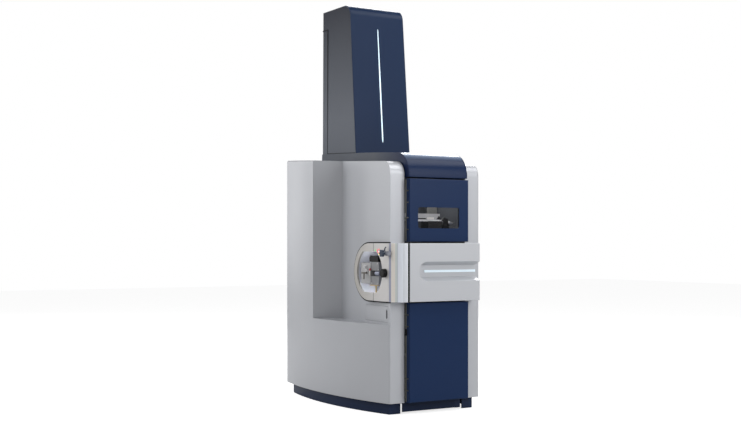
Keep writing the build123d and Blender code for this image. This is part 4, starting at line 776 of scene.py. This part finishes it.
# what shows through the window, with painted shade in the groove and painted highlights on the line and below
# the clamp
windowBits = {
    "line_lip": {"look": "brightSteel", "slot": "transfer_line", "y": (-441.0, -438.1),
                 "line": [(-138, 854.2), (44, 854.2), (66, 850.5), (68, 855.0), (48, 862.0), (-138, 862.0)]},
    # a thin black plate, painted shade for the groove above the lip
    "line_groove_shade": {"look": "blackPlastic", "slot": "line_stand", "y": (-438.8, -438.1),
                    "line": [(-138, 863.0), (-24, 863.0), (-32, 868.6), (-138, 868.6)]},
    # a pale plate, a painted highlight on the transfer line
    "line_highlight_plate": {"look": "highlightPlate", "slot": "transfer_line", "y": (-438.8, -438.1),
                         "line": [(-22, 863.4), (14, 863.4), (14, 872.6), (-22, 872.6)]},
    "line_clamp": {"look": "blackPlastic", "slot": "line_stand", "y": (-445.0, -432.0),
                   "line": [(52, 857), (66, 874), (75, 868), (92, 862), (88, 848), (94, 838), (70, 833),
                            (76, 846)]},
    # a bright bit, a painted glint below the clamp
    "clamp_glint": {"look": "brightSteel", "slot": "transfer_line", "y": (-440.5, -432.0),
                   "line": [(40, 838), (52, 838), (52, 843), (40, 843)]},
}
windowEdge = 0.2
for name, bit in windowBits.items():
    mesh = prism(name, bit["line"], *bit["y"], "y")
    piece(name, mesh, bit["look"], edge=windowEdge)
print("window details made")

# level camera: width, focal and rise share one unit, sensor is in millimetres and far in metres
view = {"eye": (-2.9556, -4.808, 0.757), "turn": 31.1, "width": 741, "focal": 1171, "rise": 27.5,
        "sensor": 36, "far": 60}
camera = bpy.data.cameras.new("camera")
camera.sensor_width = view["sensor"]
camera.lens = view["focal"] / view["width"] * view["sensor"]
camera.shift_y = view["rise"] / view["width"]
camera.clip_end = view["far"]
cameraObject = bpy.data.objects.new("camera", camera)
cameraObject.location = view["eye"]
cameraObject.rotation_euler = (math.radians(90), 0, -math.radians(view["turn"]))
bpy.context.scene.collection.objects.link(cameraObject)
bpy.context.scene.camera = cameraObject

lamps = {  # place, aim, size in metres, power in watts
    "left": {"at": (-4.4, -1.4, 3.2), "aim": (0, 0, 1.2), "size": (2.6, 3.0), "power": 44},
    "rearLeft": {"at": (-3.4, 3.2, 3.0), "aim": (0, 0.2, 1.1), "size": (2.4, 3.0), "power": 110},
    "front": {"at": (1.6, -4.6, 2.4), "aim": (0, 0, 0.9), "size": (3.0, 2.4), "power": 110},
    "top": {"at": (1.5, -1.6, 3.8), "aim": (0, -0.4, 1.1), "size": (2.2, 1.6), "power": 60},
    "backRight": {"at": (2.9, 3.4, 3.9), "aim": (0, -0.3, 1.1), "size": (2.6, 2.0), "power": 240},
    "back": {"at": (-1.2, 5.4, 1.7), "aim": (0, 0, 1.0), "size": (1.8, 2.6), "power": 22},
    "bay": {"at": (0.03, -0.461, 1.0), "aim": (0.03, -0.44, 0.86), "size": (0.24, 0.01), "power": 0.45},
    "bayRoof": {"at": (0.0, -0.33, 1.03), "aim": (0, -0.30, 0.8), "size": (0.22, 0.2), "power": 1.9},
    "bowlLow": {"at": (-0.218, -0.318, 0.552), "aim": (-0.17, -0.22, 0.535), "size": (0.02, 0.02),
                "power": 0.055},
    "bowlHigh": {"at": (-0.226, -0.285, 0.708), "aim": (-0.18, -0.22, 0.67), "size": (0.02, 0.02),
                 "power": 0.02},
}
for name, lamp in lamps.items():
    light = bpy.data.lights.new(name, "AREA")
    light.shape = "RECTANGLE"
    light.size, light.size_y = lamp["size"]
    light.energy = lamp["power"]
    holder = bpy.data.objects.new(name, light)
    holder.location = lamp["at"]
    toward = Vector(lamp["aim"]) - Vector(lamp["at"])
    holder.rotation_euler = toward.to_track_quat("-Z", "Y").to_euler()
    holder.visible_camera = False
    bpy.context.scene.collection.objects.link(holder)

# white surround, bright only where it is looked at, and a pale floor
surround = {"white": 1.0, "fill": 0.34}
paleFloor = {"half": 14.0, "squares": 8, "white": 0.6, "fleck": 0.01, "grain": 6.0, "lift": 0.75,
             "rough": 0.9, "gloss": 0.1}
world = bpy.data.worlds.new("studio")
bpy.context.scene.world = world
world.use_nodes = True
worldTree = world.node_tree
worldTree.nodes.clear()
rays = worldTree.nodes.new("ShaderNodeLightPath")
seen = (Value(worldTree, rays.outputs["Is Camera Ray"])
        + Value(worldTree, rays.outputs["Is Transmission Ray"])).clamped()
backdrop = worldTree.nodes.new("ShaderNodeBackground")
strength = seen * (surround["white"] - surround["fill"]) + surround["fill"]
worldTree.links.new(strength.socket, backdrop.inputs["Strength"])
backdrop.inputs["Color"].default_value = (1, 1, 1, 1)
worldOut = worldTree.nodes.new("ShaderNodeOutputWorld")
worldTree.links.new(backdrop.outputs[0], worldOut.inputs[0])


def floorFinish():
    finish = Finish("paleFloor")
    rays = finish.node("ShaderNodeLightPath")
    seen = finish.out(rays, "Is Camera Ray").math("MAXIMUM", finish.out(rays, "Is Transmission Ray"))
    grain = finish.noise(paleFloor["grain"], detail=2.0)
    white, fleck, lift = paleFloor["white"], paleFloor["white"] - paleFloor["fleck"], paleFloor["lift"]
    return finish.surface(
        Base_Color=finish.mix(grain, (white, white, white, 1), (fleck, fleck, fleck, 1)),
        Roughness=paleFloor["rough"],
        Specular_IOR_Level=paleFloor["gloss"],
        Emission_Color=finish.mix(seen, (0, 0, 0, 1), (lift, lift, lift, 1)),
        Emission_Strength=1.0,
    )


floorShape = bmesh.new()
squares = paleFloor["squares"]
bmesh.ops.create_grid(floorShape, x_segments=squares, y_segments=squares, size=paleFloor["half"])
floorMesh = bpy.data.meshes.new("floor")
floorShape.to_mesh(floorMesh)
floorShape.free()
floorMesh.materials.append(floorFinish())
floorObject = bpy.data.objects.new("floor", floorMesh)
bpy.context.scene.collection.objects.link(floorObject)

bpy.context.scene.view_settings.view_transform = "Standard"
